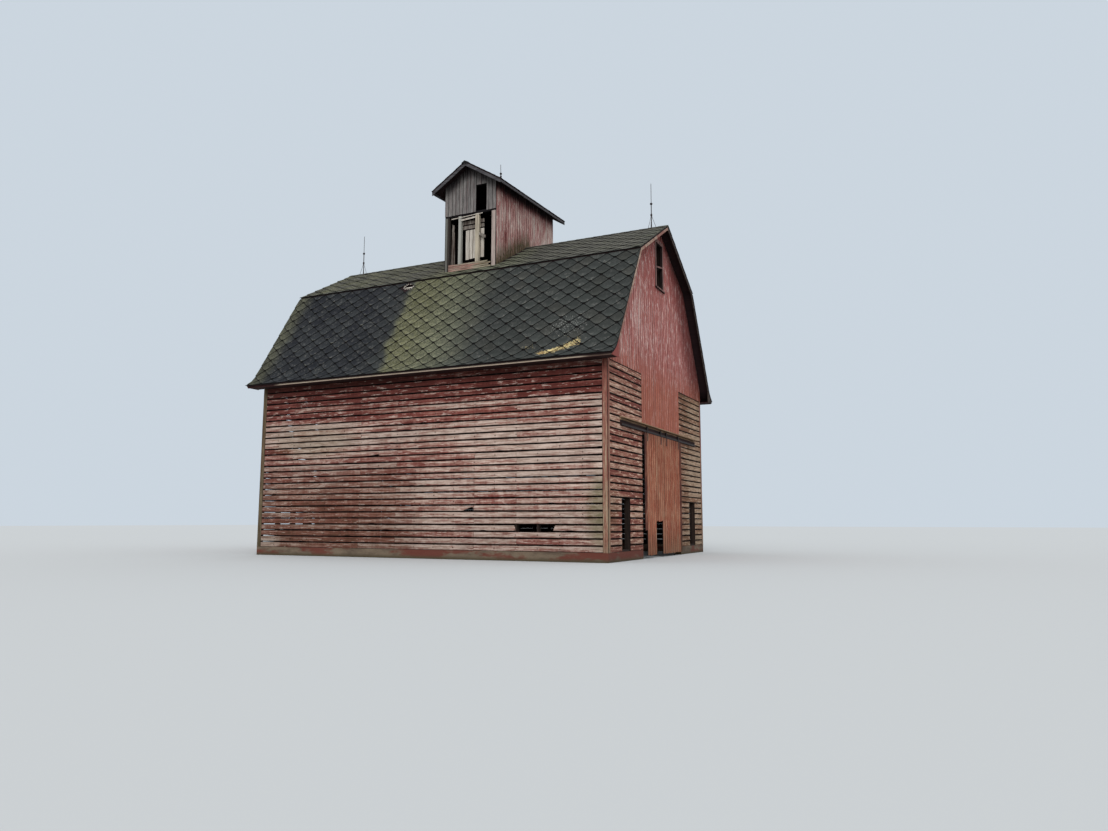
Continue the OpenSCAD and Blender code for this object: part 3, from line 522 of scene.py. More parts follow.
# Corner boards, a pair at each corner
corners = boards()
corner_back = FACE_Y - BOARD
for side_x in (-1, 1):
    for side_y in (-1, 1):
        tone = chance.random()
        first = min(side_x * (FACE_X + CORNER_PROUD), side_x * SLAT_END)
        plank(corners, (first, side_y * corner_back, 0.0), Z_AXIS, X_AXIS, Y_AXIS * side_y,
              CORNER_WIDTH + CORNER_PROUD, BASE_TOP, WALL_TOP - 0.023, corner_wear,
              BOARD + CORNER_PROUD, step=0.3, edge=0.002, tone=tone)
        first = min(side_y * (FACE_Y - CORNER_WIDTH), side_y * corner_back)
        plank(corners, (side_x * BACK_X, first, 0.0), Z_AXIS, Y_AXIS, X_AXIS * side_x,
              CORNER_WIDTH - BOARD, BASE_TOP, WALL_TOP, corner_wear,
              BOARD + CORNER_PROUD, step=0.3, edge=0.002, tone=tone)


# Roofs

def leaned(x, y, z):
    """A place on the cupola's roof once the roof has sunk at the front."""
    along = y - CUP_FRONT
    rise = z - CUP_WALL_TOP
    return Vector((x, CUP_FRONT + along * math.cos(CUP_LEAN) - rise * math.sin(CUP_LEAN),
                   CUP_WALL_TOP + along * math.sin(CUP_LEAN) + rise * math.cos(CUP_LEAN)))


def square_to(run):
    """The direction that stands up from a run in the cross-section."""
    return Vector((-run.y, run.x))


class Slope:
    """One side of a roof, walked along its ridge and down its run: side is 1, or -1 on -Y or the left."""

    def __init__(self, line, side, cupola=False):
        self.line = line
        self.side = side
        self.cupola = cupola
        self.marks = [0.0]
        for a, b in zip(line, line[1:]):
            self.marks.append(self.marks[-1] + (b - a).length)
        self.length = self.marks[-1]

    def at(self, along, down, lift):
        """The point a distance down the slope, lifted off its surface."""
        i = 0
        while i < len(self.line) - 2 and down > self.marks[i + 1]:
            i += 1
        run = (self.line[i + 1] - self.line[i]).normalized()
        point = self.line[i] + run * (down - self.marks[i]) + square_to(run) * lift
        if self.cupola:
            return leaned(CUP_X + self.side * point.x, along, point.y)
        return Vector((along, self.side * point.x, point.y))


ridge = Vector((0.0, RIDGE_Z))
knee = Vector((KNEE_Y, KNEE_Z))
flat_run = Vector((KNEE_Y, KNEE_Z - RIDGE_Z)).normalized()


def flare_line():
    """The steep slope from under the upper roof's lip, down the curved flare to the edge."""
    flare = Vector((FLARE_Y, FLARE_Z))
    run = (flare - knee).normalized()
    up = square_to(run)
    chord = Vector((EAVE_Y, EAVE_Z)) - flare
    radius = chord.dot(chord) / (2 * chord.dot(up))
    centre = flare + up * radius
    turn = 2 * math.acos(min(1.0, chord.normalized().dot(run)))
    line = [knee + run * (DECK / abs(run.dot(square_to(flat_run))))]
    for i in range(9):
        cos = math.cos(turn * i / 8)
        sin = math.sin(turn * i / 8)
        spoke = Vector((up.x * cos - up.y * sin, up.x * sin + up.y * cos))
        line.append(centre - spoke * radius)
    return line


front_lower, back_lower = [Slope(flare_line(), side) for side in (-1, 1)]
front_upper, back_upper = [Slope([ridge, knee + flat_run * LIP], side) for side in (-1, 1)]
cupola_line = [Vector((0.0, CUP_RIDGE_Z)), Vector((CUP_EAVE, CUP_RIDGE_Z - CUP_EAVE * CUP_SLOPE))]
cupola_left, cupola_right = [Slope(cupola_line, side, True) for side in (-1, 1)]

# A shingle's outline: across its middle, and down the slope from there
TAB_WIDTH = 0.533
TAB_ROW = 0.2065
TAB_DOWN = 0.186
TAB_UP = 0.205
TAB_LENGTH = 0.39
TAB_HALF = ((0.0, TAB_DOWN), (0.045, 0.182), (0.085, 0.155), (0.252, 0.012), (0.244, -0.028), (0.06, -0.2),
            (0.0, -TAB_UP))
TAB = [*TAB_HALF, *[(-u, v) for u, v in reversed(TAB_HALF[1:-1])]]
TAB_INNER = 0.80
# The hole in the front lower slope: its place along and down, and its reach each way
HOLE = (-1.48, 0.165, 0.17, 0.11)


def clear_of_hole(along, down):
    """Moves a place on the front lower slope out of the hole."""
    offset_x = (along - HOLE[0]) / HOLE[2]
    offset_s = (down - HOLE[1]) / HOLE[3]
    reach = math.hypot(offset_x, offset_s)
    if reach >= 1.0 or reach == 0.0:
        return along, down
    return HOLE[0] + offset_x / reach * HOLE[2], HOLE[1] + offset_s / reach * HOLE[3]


def clear_of_cupola(along, down):
    """Moves a place on the upper slope out of the cupola's foot."""
    foot = abs(CUP_FRONT) / flat_run.x
    inside = (along - (CUP_X - CUP_HALF), (CUP_X + CUP_HALF) - along, foot - down)
    if min(inside) <= 0:
        return along, down
    if inside[2] == min(inside):
        return along, foot
    return CUP_X + (CUP_HALF if inside[0] >= inside[1] else -CUP_HALF), down


def as_placed(along, down):
    """Leaves a place as it is."""
    return along, down


def shingles(mesh, slope, reach, phase, values, clear=as_placed, ragged=0.0, curl=0.004):
    """Lapped diamond shingles on a slope, to the same reach both ways along it."""
    for row in range(int(slope.length / TAB_ROW) + 2):
        middle_down = row * TAB_ROW
        for column in range(-1, int(2 * reach / TAB_WIDTH) + 3):
            middle = phase - reach + (column + 0.5 * (row % 2)) * TAB_WIDTH
            if middle < -reach - 0.2 - ragged or middle > reach + 0.2:
                continue
            if (middle, middle_down) != clear(middle, middle_down):
                continue
            tone = chance.random()
            lift = curl * chance.random() ** 3
            drop = chance.uniform(-0.006, 0.006)
            turn = chance.uniform(-0.02, 0.02)
            points = []
            lower = []
            for ring, share in enumerate((1.0, 1.0, TAB_INNER)):
                for u, v in TAB:
                    along = min(max(middle + u * share - v * turn, -reach - ragged), reach)
                    down = middle_down + drop + v * share + u * turn
                    place = clear(along, min(max(down, 0.0), slope.length + 0.012))
                    fall = (v * share + TAB_UP) / TAB_LENGTH
                    raised = 0.004 + 0.012 * fall + lift * smooth(0.5, 1.0, fall)
                    points.append(slope.at(*place, raised if ring else 0.0005))
                    lower.append(v * share / TAB_DOWN)
            heart = clear(min(max(middle, -reach), reach), min(middle_down, slope.length))
            points.append(slope.at(*heart, 0.011 + 0.25 * lift))
            size = len(TAB)
            faces = []
            for i in range(size):
                j = (i + 1) % size
                faces += [[i, j, size + j, size + i], [size + i, size + j, 2 * size + j, 2 * size + i],
                          [2 * size + i, 2 * size + j, 3 * size]]
            if slope.side < 0:
                faces = [list(reversed(face)) for face in faces]
            rim = [1.0] * (2 * size) + [0.0] * (size + 1)
            mesh.add(points, faces, [{"tone": tone, "rim": edge, "lower": low_share, **values(*point)}
                                     for point, edge, low_share in zip(points, rim, lower + [0.0])])


def aged(moss, lichen=0.0, warm=0.5, pale=0.0):
    """The painted values of one point of a roof."""
    return {"moss": moss, "lichen": lichen, "warm": warm, "pale": pale}


# The band of straw-coloured lichen near the front slope's right foot
BAND_START = 3.62
BAND_END = 4.70
BAND_Z = 5.08


def roof_values(x, y, z):
    """Moss, lichen and fading on the front of the main roof."""
    spread = 0.12 * drift(x, z, 0.4, 71.0)
    start = -1.30 + 0.30 * smooth(6.0, 4.9, z) + spread
    upper = smooth(8.05, 8.2, z)
    moss = smooth(start - 0.12, start + 0.12, x) * smooth(1.9 + 2 * spread, 0.2, x)
    moss = (1 - 0.5 * upper) * max(moss, 0.45 * smooth(-5.1, -5.6, x + spread))
    faint = 0.45 * smooth(1.2, -4.5, x) + 0.8 * drift(x, z * 3, 0.6, 73.0)
    near_cupola = max(patch(x, z, CUP_X + 0.4, 8.3, 2.3, 0.5), patch(x, z, CUP_X + CUP_HALF, 8.7, 1.1, 1.1))
    near_cupola += 0.25 * drift(x, z * 2, 0.3, 74.0)
    moss = max(moss, upper * faint, upper * near_cupola)
    share = min(1.0, max(0.0, (x - BAND_START) / (BAND_END - BAND_START)))
    past = min(x - BAND_START, 0.0) + max(x - BAND_END, 0.0)
    band = 1.15 * smooth(0.07 + 0.15 * share, 0.0, math.hypot(past, z - BAND_Z - 0.28 * share * share))
    lichen = max(band, 0.46 * patch(x, z, 4.3, 5.85, 1.0, 0.6), 0.46 * patch(x, z, 3.4, 5.3, 0.4, 0.15),
                 0.22 * patch(x, z, 1.5, 6.0, 3.8, 2.4))
    return aged(max(0.0, min(moss, 1.0)), lichen, smooth(-3.0, 1.5, x), upper)


def back_roof_values(x, y, z):
    """Moss, lichen and fading on the back of the main roof."""
    return aged(0.5 * smooth(0.0, 0.5, drift(x, z, 1.5, 75.0)), 0.2, pale=smooth(8.05, 8.2, z))


def cupola_roof_values(x, y, z):
    """Moss on the cupola's roof."""
    return aged(0.3 * smooth(-0.1, 0.5, drift(y, z, 0.9, 77.0)), warm=0.2)


def shingle_piece():
    """An empty piece of shingles."""
    return Mesh("tone", "rim", "lower", "moss", "lichen", "warm", "pale")


RAKE = ROOF_END + 0.012
LEFT_RAGGED = 0.03
LEFT_PHASE = 0.5 * TAB_WIDTH - LEFT_RAGGED
roof_pieces = {}
for name, slope, values, clear in (
        ("lower_front_shingles", front_lower, roof_values, clear_of_hole),
        ("lower_back_shingles", back_lower, back_roof_values, as_placed),
        ("upper_front_shingles", front_upper, roof_values, clear_of_cupola),
        ("upper_back_shingles", back_upper, back_roof_values, clear_of_cupola)):
    roof_pieces[name] = shingle_piece()
    shingles(roof_pieces[name], slope, RAKE, LEFT_PHASE, values, clear, LEFT_RAGGED, 0.012)
roof_pieces["cupola_shingles"] = shingle_piece()
for slope in (cupola_left, cupola_right):
    shingles(roof_pieces["cupola_shingles"], slope, CUP_END, 0.1, cupola_roof_values)

CAP_LENGTH = 0.3
CAP_WIDTH = 0.13
CAP_RIM = 0.45
caps = roof_pieces["ridge_caps"] = shingle_piece()
for left, right, first, last, values in (
        (front_upper, back_upper, -RAKE, CUP_X - CUP_HALF, back_roof_values),
        (front_upper, back_upper, CUP_X + CUP_HALF, RAKE, back_roof_values),
        (cupola_left, cupola_right, -CUP_END, CUP_END, cupola_roof_values)):
    count = round((last - first) / CAP_LENGTH)
    for i in range(count):
        start = first + (last - first) * i / count - 0.02
        end = first + (last - first) * (i + 1) / count
        tone = chance.random()
        points = []
        for along, lift in ((start, 0.024), (end, 0.017)):
            for slope, down, rise in ((left, CAP_WIDTH, 0.0), (left, CAP_WIDTH, 1.0), (left, 0.001, 1.0),
                                      (right, CAP_WIDTH, 1.0), (right, CAP_WIDTH, 0.0)):
                points.append(slope.at(along, down, lift * rise + 0.0005))
        faces = [[j, j + 1, j + 6, j + 5] for j in range(4)] + [[4, 3, 2, 1, 0], [5, 6, 7, 8, 9]]
        caps.add(points, faces, [{"tone": tone, "rim": CAP_RIM, "lower": 0.5, **values(*point)}
                                 for point in points])


# Splinters and a bare board at the hole in the roof
SPLINTERS = 16
hole_wood = boards()
slope_down = (front_lower.at(0, 0.5, 0) - front_lower.at(0, 0.0, 0)).normalized()
slope_out = (front_lower.at(0, 0.2, 1) - front_lower.at(0, 0.2, 0)).normalized()
for i in range(SPLINTERS):
    angle = i * math.tau / SPLINTERS + chance.uniform(-0.1, 0.1)
    along = HOLE[0] + HOLE[2] * 0.98 * math.cos(angle)
    down = HOLE[1] + HOLE[3] * 0.98 * math.sin(angle)
    inward = (X_AXIS * -math.cos(angle) + slope_down * -math.sin(angle)).normalized()
    across = inward.cross(slope_out)
    reach = chance.uniform(0.015, 0.05)
    plank(hole_wood, front_lower.at(along, down, -0.012) - across * 0.012, inward, across, slope_out,
          0.024, -0.03, (reach, reach * 0.5), pale_wear, 0.022, step=0.02, ragged=(0.0, 0.01))
plank(hole_wood, front_lower.at(0.0, 0.15, -DECK - 0.01), X_AXIS, slope_down, slope_out, 0.05,
      -1.72, -1.25, pale_wear, 0.02, step=0.1)


# Cupola

def cupola_gable(mesh, back, out, foot, slot_foot, rise, edges, wear):
    """Upright boards of one gable of the cupola, under a roof that has risen there by the lean."""
    for low, high in zip(edges, edges[1:]):
        start = slot_foot if SLOT[0] <= low < SLOT[1] else foot
        tops = [CUP_PEAK - abs(x - CUP_X) * CUP_SLOPE + rise for x in (low, high)]
        plank(mesh, (low + 0.002, back, 0.0), Z_AXIS, X_AXIS, out, high - low - 0.004, start, tops, wear,
              edge=0.003, ragged=(0.012, 0.0))


cupola_front, cupola_rear, cupola_sides = [boards() for i in range(3)]
rear_edges = [CUP_X - CUP_HALF + 2 * CUP_HALF * i / CUP_BOARDS for i in range(CUP_BOARDS + 1)]
front_edges = sorted([*[x for x in rear_edges if min(abs(x - SLOT[0]), abs(x - SLOT[1])) > 0.05], *SLOT])
rear_foot = RIDGE_Z - FLAT_SLOPE * CUP_BACK - 0.01
cupola_gable(cupola_front, CUP_FRONT + BOARD, -Y_AXIS, CUP_BOARDS_FOOT, SLOT_TOP, 0.0, front_edges,
             silver_wear)
cupola_gable(cupola_rear, CUP_BACK - BOARD, Y_AXIS, rear_foot, rear_foot, lean_rise(CUP_BACK - BOARD),
             rear_edges, cupola_side_wear)

POST_FRONT = CUP_FRONT + BOARD
side_edges = [POST_FRONT - 2 * POST_FRONT * i / SIDE_BOARDS for i in range(SIDE_BOARDS + 1)]
for side in (-1, 1):
    for low, high in zip(side_edges, side_edges[1:]):
        start = [RIDGE_Z - FLAT_SLOPE * abs(y) for y in (low, high)]
        tops = [CUP_WALL_TOP + lean_rise(y) for y in (low, high)]
        plank(cupola_sides, (CUP_X + side * (CUP_HALF - BOARD), low + 0.0015, 0.0), Z_AXIS, Y_AXIS,
              X_AXIS * side, high - low - 0.003, start, tops, cupola_side_wear, edge=0.002)

# The panel inside the cupola's front
panel = boards()
panel_low, panel_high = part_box("cupola_inner_panel")
PANEL_TOP = panel_low.z + 0.92
PANEL_LEFT = CUP_X - 0.21
PANEL_RIGHT = PANEL_LEFT + 0.648
PANEL_BOARDS = 5
PANEL_PITCH = (PANEL_RIGHT - PANEL_LEFT) / PANEL_BOARDS
for i in range(PANEL_BOARDS):
    foot = panel_low.z + chance.uniform(0.0, 0.03)
    plank(panel, (PANEL_LEFT + i * PANEL_PITCH + 0.002, panel_high.y, 0.0), Z_AXIS, X_AXIS, -Y_AXIS,
          PANEL_PITCH - 0.004, foot, PANEL_TOP, pale_wear, edge=0.003, ragged=(0.02, 0.0))
for i in range(2):
    start = CUP_X - 0.353
    plank(panel, (0.0, panel_high.y, PANEL_TOP + 0.03 + i * 0.15), X_AXIS, Z_AXIS, -Y_AXIS, 0.12,
          (start, start + 0.01), (PANEL_RIGHT, PANEL_RIGHT - 0.01), dark_wear, edge=0.004)

# Loose boards in the open bays: place, direction, width, thickness, start, end, wear and step
bay_bits = boards()
left_bay = CUP_X - CUP_HALF + BOARD + 0.13
for x, depth, z, along, across, width, thick, start, end, wear, step in (
        (left_bay, 0.12, 8.45, Z_AXIS + X_AXIS * 0.03, X_AXIS, 0.085, 0.02, 0.0, (1.47, 1.42),
         dark_wear, 0.2),
        (left_bay + 0.09, 0.12, 8.45, Z_AXIS - X_AXIS * 0.02, X_AXIS, 0.07, 0.02, 0.0, (1.25, 1.2),
         dark_wear, 0.2),
        (CUP_X - 0.313, 0.02, 9.93, X_AXIS + Z_AXIS * 0.06, Z_AXIS, 0.06, 0.02, -0.02, 0.52,
         pale_wear, 0.1),
        (CUP_X - 0.30, 0.005, 10.035, X_AXIS + Z_AXIS * 0.035, Z_AXIS, 0.028, 0.012, -0.36, (0.72, 0.74),
         pale_wear, 0.1),
        (CUP_X + 0.29, 0.03, PANEL_TOP - 0.22, X_AXIS * 0.87 - Z_AXIS * 0.5, Z_AXIS * 0.87 + X_AXIS * 0.5,
         0.08, 0.03, 0.0, (0.27, 0.25), dark_wear, 0.1)):
    plank(bay_bits, (x, POST_FRONT + depth, z), along.normalized(), across.normalized(), -Y_AXIS, width,
          start, end, wear, thick, step)

# Broken boards at the cupola's foot
base_board = boards()
base_low, base_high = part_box("cupola_base_board")
BASE_PIECES = 4
base_pitch = (base_high.z - base_low.z) / BASE_PIECES
for i in range(BASE_PIECES):
    short = 0.2 * chance.random() if i % 2 else 0.0
    plank(base_board, (0.0, base_high.y, base_low.z + i * base_pitch), X_AXIS, Z_AXIS, -Y_AXIS,
          base_pitch - 0.004, base_low.x, base_high.x - short, base_wear, step=0.15, edge=0.006,
          ragged=(0.0, 0.05))


# Materials, with every colour written in the usual 0 to 255 steps

def srgb(red, green, blue):
    """A colour as the shader's linear values."""
    linear = []
    for channel in (red, green, blue):
        share = channel / 255
        linear.append(((share + 0.055) / 1.055) ** 2.4 if share > 0.04045 else share / 12.92)
    return (*linear, 1.0)


class Nodes:
    """The nodes of a material or of the sky, made one at a time."""

    def __init__(self, tree):
        self.nodes = tree.nodes
        self.links = tree.links

    def put(self, socket, value):
        """Joins a socket to another one, or sets it. A colour of three steps is made linear."""
        if isinstance(value, bpy.types.NodeSocket):
            self.links.new(value, socket)
        elif isinstance(value, tuple) and len(value) == 3:
            socket.default_value = srgb(*value)
        else:
            socket.default_value = value

    def math(self, operation, first, second=0.0):
        """One operation on two values."""
        node = self.nodes.new("ShaderNodeMath")
        node.operation = operation
        self.put(node.inputs[0], first)
        self.put(node.inputs[1], second)
        return node.outputs[0]

    def plus(self, total, *values):
        """All the values added up."""
        for value in values:
            total = self.math("ADD", total, value)
        return total

    def times(self, total, *values):
        """All the values multiplied."""
        for value in values:
            total = self.math("MULTIPLY", total, value)
        return total

    def ramp(self, value, low, high, start=0.0, end=1.0):
        """start where value is low, end where it is high, with an even curve between."""
        node = self.nodes.new("ShaderNodeMapRange")
        node.interpolation_type = "SMOOTHSTEP"
        for name, number in (("Value", value), ("From Min", low), ("From Max", high), ("To Min", start),
                             ("To Max", end)):
            self.put(node.inputs[name], number)
        return node.outputs["Result"]

    def mix(self, share, first, second, blend="MIX"):
        """The first colour where share is 0 and the second where it is 1."""
        node = self.nodes.new("ShaderNodeMix")
        node.data_type = "RGBA"
        node.blend_type = blend
        for socket, value in ((0, share), (6, first), (7, second)):
            self.put(node.inputs[socket], value)
        return node.outputs[2]

    def coats(self, colour, *coats):
        """A colour under further coats, each of them a colour and its share, or a colour and its ramp."""
        for coat, *share in coats:
            colour = self.mix(self.ramp(*share) if len(share) > 1 else share[0], colour, coat)
        return colour

    def value(self, name):
        """A value painted on the mesh."""
        node = self.nodes.new("ShaderNodeAttribute")
        node.attribute_name = name
        return node.outputs["Fac"]

    def noise(self, scale, detail=4.0, roughness=0.6, shift=None):
        """Noise with its own number of waves per metre along each axis."""
        source = self.nodes.new("ShaderNodeTexCoord")
        place = self.nodes.new("ShaderNodeVectorMath")
        place.operation = "MULTIPLY_ADD"
        self.links.new(source.outputs["Object"], place.inputs[0])
        place.inputs[1].default_value = scale
        if shift is not None:
            self.links.new(shift, place.inputs[2])
        node = self.nodes.new("ShaderNodeTexNoise")
        self.links.new(place.outputs[0], node.inputs["Vector"])
        for name, number in (("Scale", 1.0), ("Detail", detail), ("Roughness", roughness)):
            node.inputs[name].default_value = number
        return node.outputs["Fac"]

    def place(self, axis):
        """Distance from the origin along an axis."""
        source = self.nodes.new("ShaderNodeTexCoord")
        node = self.nodes.new("ShaderNodeSeparateXYZ")
        self.links.new(source.outputs["Object"], node.inputs[0])
        return node.outputs[axis]

    def off_line(self, axis, start, pitch):
        """Distance in metres from the nearest of many even lines across an axis."""
        turns = self.math("DIVIDE", self.plus(self.place(axis), -start), pitch)
        share = self.plus(self.math("FRACT", self.plus(turns, 0.5)), -0.5)
        return self.times(self.math("ABSOLUTE", share), pitch)

    def seen(self):
        """1 on rays that show the surroundings, and 0 on rays that light the object."""
        rays = self.nodes.new("ShaderNodeLightPath").outputs
        share = self.math("MAXIMUM", rays["Is Camera Ray"], rays["Is Glossy Ray"])
        return self.math("MAXIMUM", share, rays["Is Transmission Ray"])


class Shader(Nodes):
    """A material and its nodes."""

    def __init__(self, name, roughness=0.9, specular=0.2):
        self.material = bpy.data.materials.new(name)
        self.material.use_nodes = True
        super().__init__(self.material.node_tree)
        self.surface = self.nodes["Principled BSDF"]
        self.surface.inputs["Roughness"].default_value = roughness
        self.surface.inputs["Specular IOR Level"].default_value = specular

    def finish(self, colour, relief, depth=0.003):
        """Sets the colour and the fine relief, and gives the material."""
        node = self.nodes.new("ShaderNodeBump")
        node.inputs["Distance"].default_value = depth
        self.links.new(relief, node.inputs["Height"])
        self.links.new(node.outputs["Normal"], self.surface.inputs["Normal"])
        self.put(self.surface.inputs["Base Color"], colour)
        return self.material


def waves(along, slow, fast):
    """Waves per metre that run slowly along one axis and fast across the others."""
    return tuple(slow if axis == along else fast for axis in "xyz")


def nail_marks(s, colour, fleck):
    """Pale worn places at the studs with a dark spot at each nail."""
    across = s.off_line("X", -STUD_SPAN, STUD_PITCH)
    rise = s.off_line("Z", BASE_TOP + 0.5 * SLAT_HEIGHT, SLAT_PITCH)
    square = s.plus(s.times(across, across), s.times(rise, rise))
    return s.coats(
        colour, ((168, 128, 112), s.times(s.ramp(across, 0.05, 0.01), s.ramp(fleck, 0.54, 0.68, 0.0, 0.6))),
        ((34, 24, 20), s.times(s.ramp(square, 0.0004, 0.0001), s.ramp(fleck, 0.46, 0.54))))


def painted_wood(name, along, bare, stained, painted, grime=(52, 36, 30), green=(104, 100, 66),
                 seam_shade=0.6, chalk=0.0, studs=False):
    """Weathered boards, whose bare wood and paint each run between a pair of colours.

    seam_shade says how dark the boards' edges, backs and undersides get, as dark seams and painted shade,
    chalk how pale the marks of worn paint, and studs adds the nails' marks.
    """
    s = Shader(name)
    tone = s.value("tone")
    shift = s.times(tone, 31.0)
    grain = s.noise(waves(along, 1.6, 48.0), 6.0, 0.8, shift)
    streak = s.noise(waves(along, 0.9, 26.0), 5.0, 0.75, shift)
    fleck = s.noise(waves(along, 7.0, 30.0), 5.0, 0.8, shift)
    fine = s.noise(waves(along, 3.0, 170.0), 3.0, 0.6, shift)
    marks = s.noise(waves(along, 3.2, 22.0), 3.0, 0.6, s.times(tone, 17.0))
    level = s.plus(s.value("paint"), -2.0, streak, streak, fleck, grain)
    if studs:
        level = s.plus(level, s.ramp(s.noise((7.0, 7.0, 0.5), 4.0, 0.7), 0.3, 0.7, -0.09, 0.09))
    shown = s.ramp(s.plus(marks, s.times(s.value("paint"), -0.07)), 0.52, 0.57, 0.0, chalk)
    colour = s.coats(
        bare[0], (bare[1], grain, 0.38, 0.62), (stained, level, 0.08, 0.42),
        (s.coats(painted[0], (painted[1], level, 0.62, 1.0)), level, 0.34, 0.72),
        (bare[0], s.times(shown, s.ramp(fleck, 0.43, 0.50))),
        # The grime colour lays both dirt and painted shade, wherever the wear puts them
        (grime, s.times(s.ramp(streak, 0.3, 0.6, 0.5, 1.0), s.value("grime"))),
        (green, s.times(s.value("green"), s.ramp(fleck, 0.3, 0.6, 0.35, 1.0))))
    if studs:
        colour = nail_marks(s, colour, fleck)
    dark = s.times(s.ramp(fine, 0.35, 0.6, 0.84, 1.06), s.ramp(tone, 0.0, 1.0, 0.90, 1.06),
                   s.ramp(marks, 0.38, 0.45, 0.84, 1.0), s.ramp(grain, 0.27, 0.36, 0.4, 1.0))
    # Painted shade: edges, backs and undersides of the boards go near black by their shade values
    colour = s.coats(s.mix(1.0, colour, dark, "MULTIPLY"), ((24, 13, 10), s.value("shade"), 1 - seam_shade, 1.0))
    return s.finish(colour, s.plus(grain, fine, s.ramp(level, 0.42, 0.66, 0.0, 0.5)), 0.004)


def plain_timber(name, along, light, dark):
    """Bare timber on pieces without painted values."""
    s = Shader(name)
    grain = s.noise(waves(along, 1.5, 34.0), 5.0, 0.65)
    broad = s.noise(waves(along, 0.8, 5.0), 3.0, 0.6)
    return s.finish(s.coats(light, (dark, grain, 0.32, 0.68), (dark, broad, 0.4, 0.7, 0.0, 0.4)), grain)


def rake_timber():
    """Bare rake boards, pale on the side of -Y and nearly black on the side of +Y."""
    s = Shader("rake_wood")
    grain = s.noise((4.0, 3.0, 12.0), 5.0, 0.65)
    stain = s.noise((2.0, 1.6, 1.6), 3.0, 0.6)
    back_half_colour = s.coats((74, 62, 56), ((38, 30, 28), grain, 0.3, 0.7))
    return s.finish(s.coats(
        (186, 164, 146), ((142, 112, 98), grain, 0.32, 0.68), ((136, 82, 74), stain, 0.42, 0.6, 0.0, 0.75),
        ((140, 76, 70), s.place("Z"), FLARE_Z + 0.05, FLARE_Z - 0.02), (back_half_colour, s.place("Y"), -0.05, 0.05)),
        grain)


def cupola_timber():
    """The cupola's posts: grey at the left, tan to the right, and black with painted shade under the gable
    boards.
    """
    s = Shader("cupola_posts")
    grain = s.noise((34.0, 34.0, 1.5), 5.0, 0.65)
    across = s.plus(s.place("X"), -CUP_X)
    edge = 0.075 - CUP_HALF
    return s.finish(s.coats(
        (112, 112, 106), ((48, 42, 38), across, edge, edge + 0.02), ((166, 164, 156), across, -0.45, -0.44),
        ((186, 174, 154), across, -0.2, -0.1), ((172, 156, 148), across, 0.4, 0.5),
        ((84, 76, 70), grain, 0.4, 0.7, 0.0, 0.6),
        ((20, 16, 18), s.place("Z"), CUP_BOARDS_FOOT - 0.05, CUP_BOARDS_FOOT - 0.035)), grain)


def concrete():
    """Weathered concrete with patches of old paint."""
    s = Shader("foundation_concrete")
    grit = s.noise((60, 60, 60), 5.0, 0.7)
    stain = s.noise((1.1, 1.1, 3.0), 4.0, 0.6)
    paint = s.noise((0.45, 0.45, 1.5), 5.0, 0.65)
    return s.finish(s.coats(
        (128, 112, 94), ((92, 78, 66), stain, 0.35, 0.65), ((110, 52, 43), paint, 0.46, 0.54, 0.0, 0.85),
        ((78, 70, 52), s.place("Z"), 0.12, 0.0), ((60, 50, 42), grit, 0.3, 0.7, 0.0, 0.35)), grit, 0.006)


def shingle():
    """Old shingles with painted shade along their edges and toward each tab's top, with moss and lichen
    where it is painted on.
    """
    s = Shader("shingle", 0.95)
    tone, rim, lower, warm, pale = [s.value(name) for name in ("tone", "rim", "lower", "warm", "pale")]
    granules = s.noise((210, 210, 210), 2.0, 0.7)
    cloud = s.noise((11, 11, 11), 5.0, 0.65, s.times(tone, 23.0))
    crumbs = s.noise((26, 26, 26), 5.0, 0.75)
    broad = s.ramp(cloud, 0.3, 0.6, 0.5, 1.0)
    brown = s.ramp(s.math("FRACT", s.times(tone, 7.0)), 0.6, 1.0, 0.0, 0.3)
    green = s.coats((92, 91, 60), ((88, 91, 74), s.place("X"), -1.0, 0.9),
                    ((126, 124, 102), crumbs, 0.46, 0.60))
    # lip is a pale line inside the lower edges, worn and partly a painted highlight
    lip = s.times(s.ramp(rim, 0.0, 0.25), s.ramp(lower, 0.3, 0.9), s.ramp(cloud, 0.45, 0.7, 0.0, 0.6))
    crust = s.coats((130, 98, 58), ((202, 184, 132), cloud, 0.35, 0.6),
                    ((170, 170, 164), s.place("Z"), 5.5, 5.6))
    colour = s.coats(
        (30, 32, 38), ((55, 58, 55), s.plus(warm, s.times(tone, 0.35))),
        ((74, 74, 74), cloud, 0.35, 0.75, 0.0, 0.4), ((104, 102, 96), cloud, 0.56, 0.70, 0.0, 0.6),
        ((66, 62, 54), s.times(brown, warm)), ((94, 91, 82), s.times(pale, broad)),
        (green, s.times(s.value("moss"), broad)), ((126, 124, 110), lip),
        (crust, s.plus(s.times(s.value("lichen"), 0.38), crumbs), 0.74, 0.80))
    # On the upper slope the tabs darken toward their lower tips
    lap = s.times(pale, s.ramp(lower, 0.5, 0.95))
    # Painted shade: darker toward the top of each tab, under the tab above, and near black along the rims
    bright = s.times(s.ramp(tone, 0.0, 1.0, 0.86, 1.13), s.ramp(granules, 0.3, 0.7, 0.80, 1.18),
                     s.ramp(lap, 0.0, 1.0, 1.06, 0.45), s.ramp(lower, -0.1, 0.7, 0.74, 1.08),
                     s.ramp(rim, 0.28, 0.58, 1.0, 0.10))
    return s.finish(s.mix(1.0, colour, bright, "MULTIPLY"), s.plus(granules, cloud))


def roof_deck():
    """The deck under the shingles, dark felt, near black so that its edges and the gaps between shingles
    show as painted shade.
    """
    s = Shader("roof_deck", 0.95)
    grain = s.noise((1.2, 30, 30), 5.0, 0.65)
    return s.finish(s.coats((30, 20, 22), ((46, 30, 31), grain, 0.3, 0.7)), grain, 0.004)


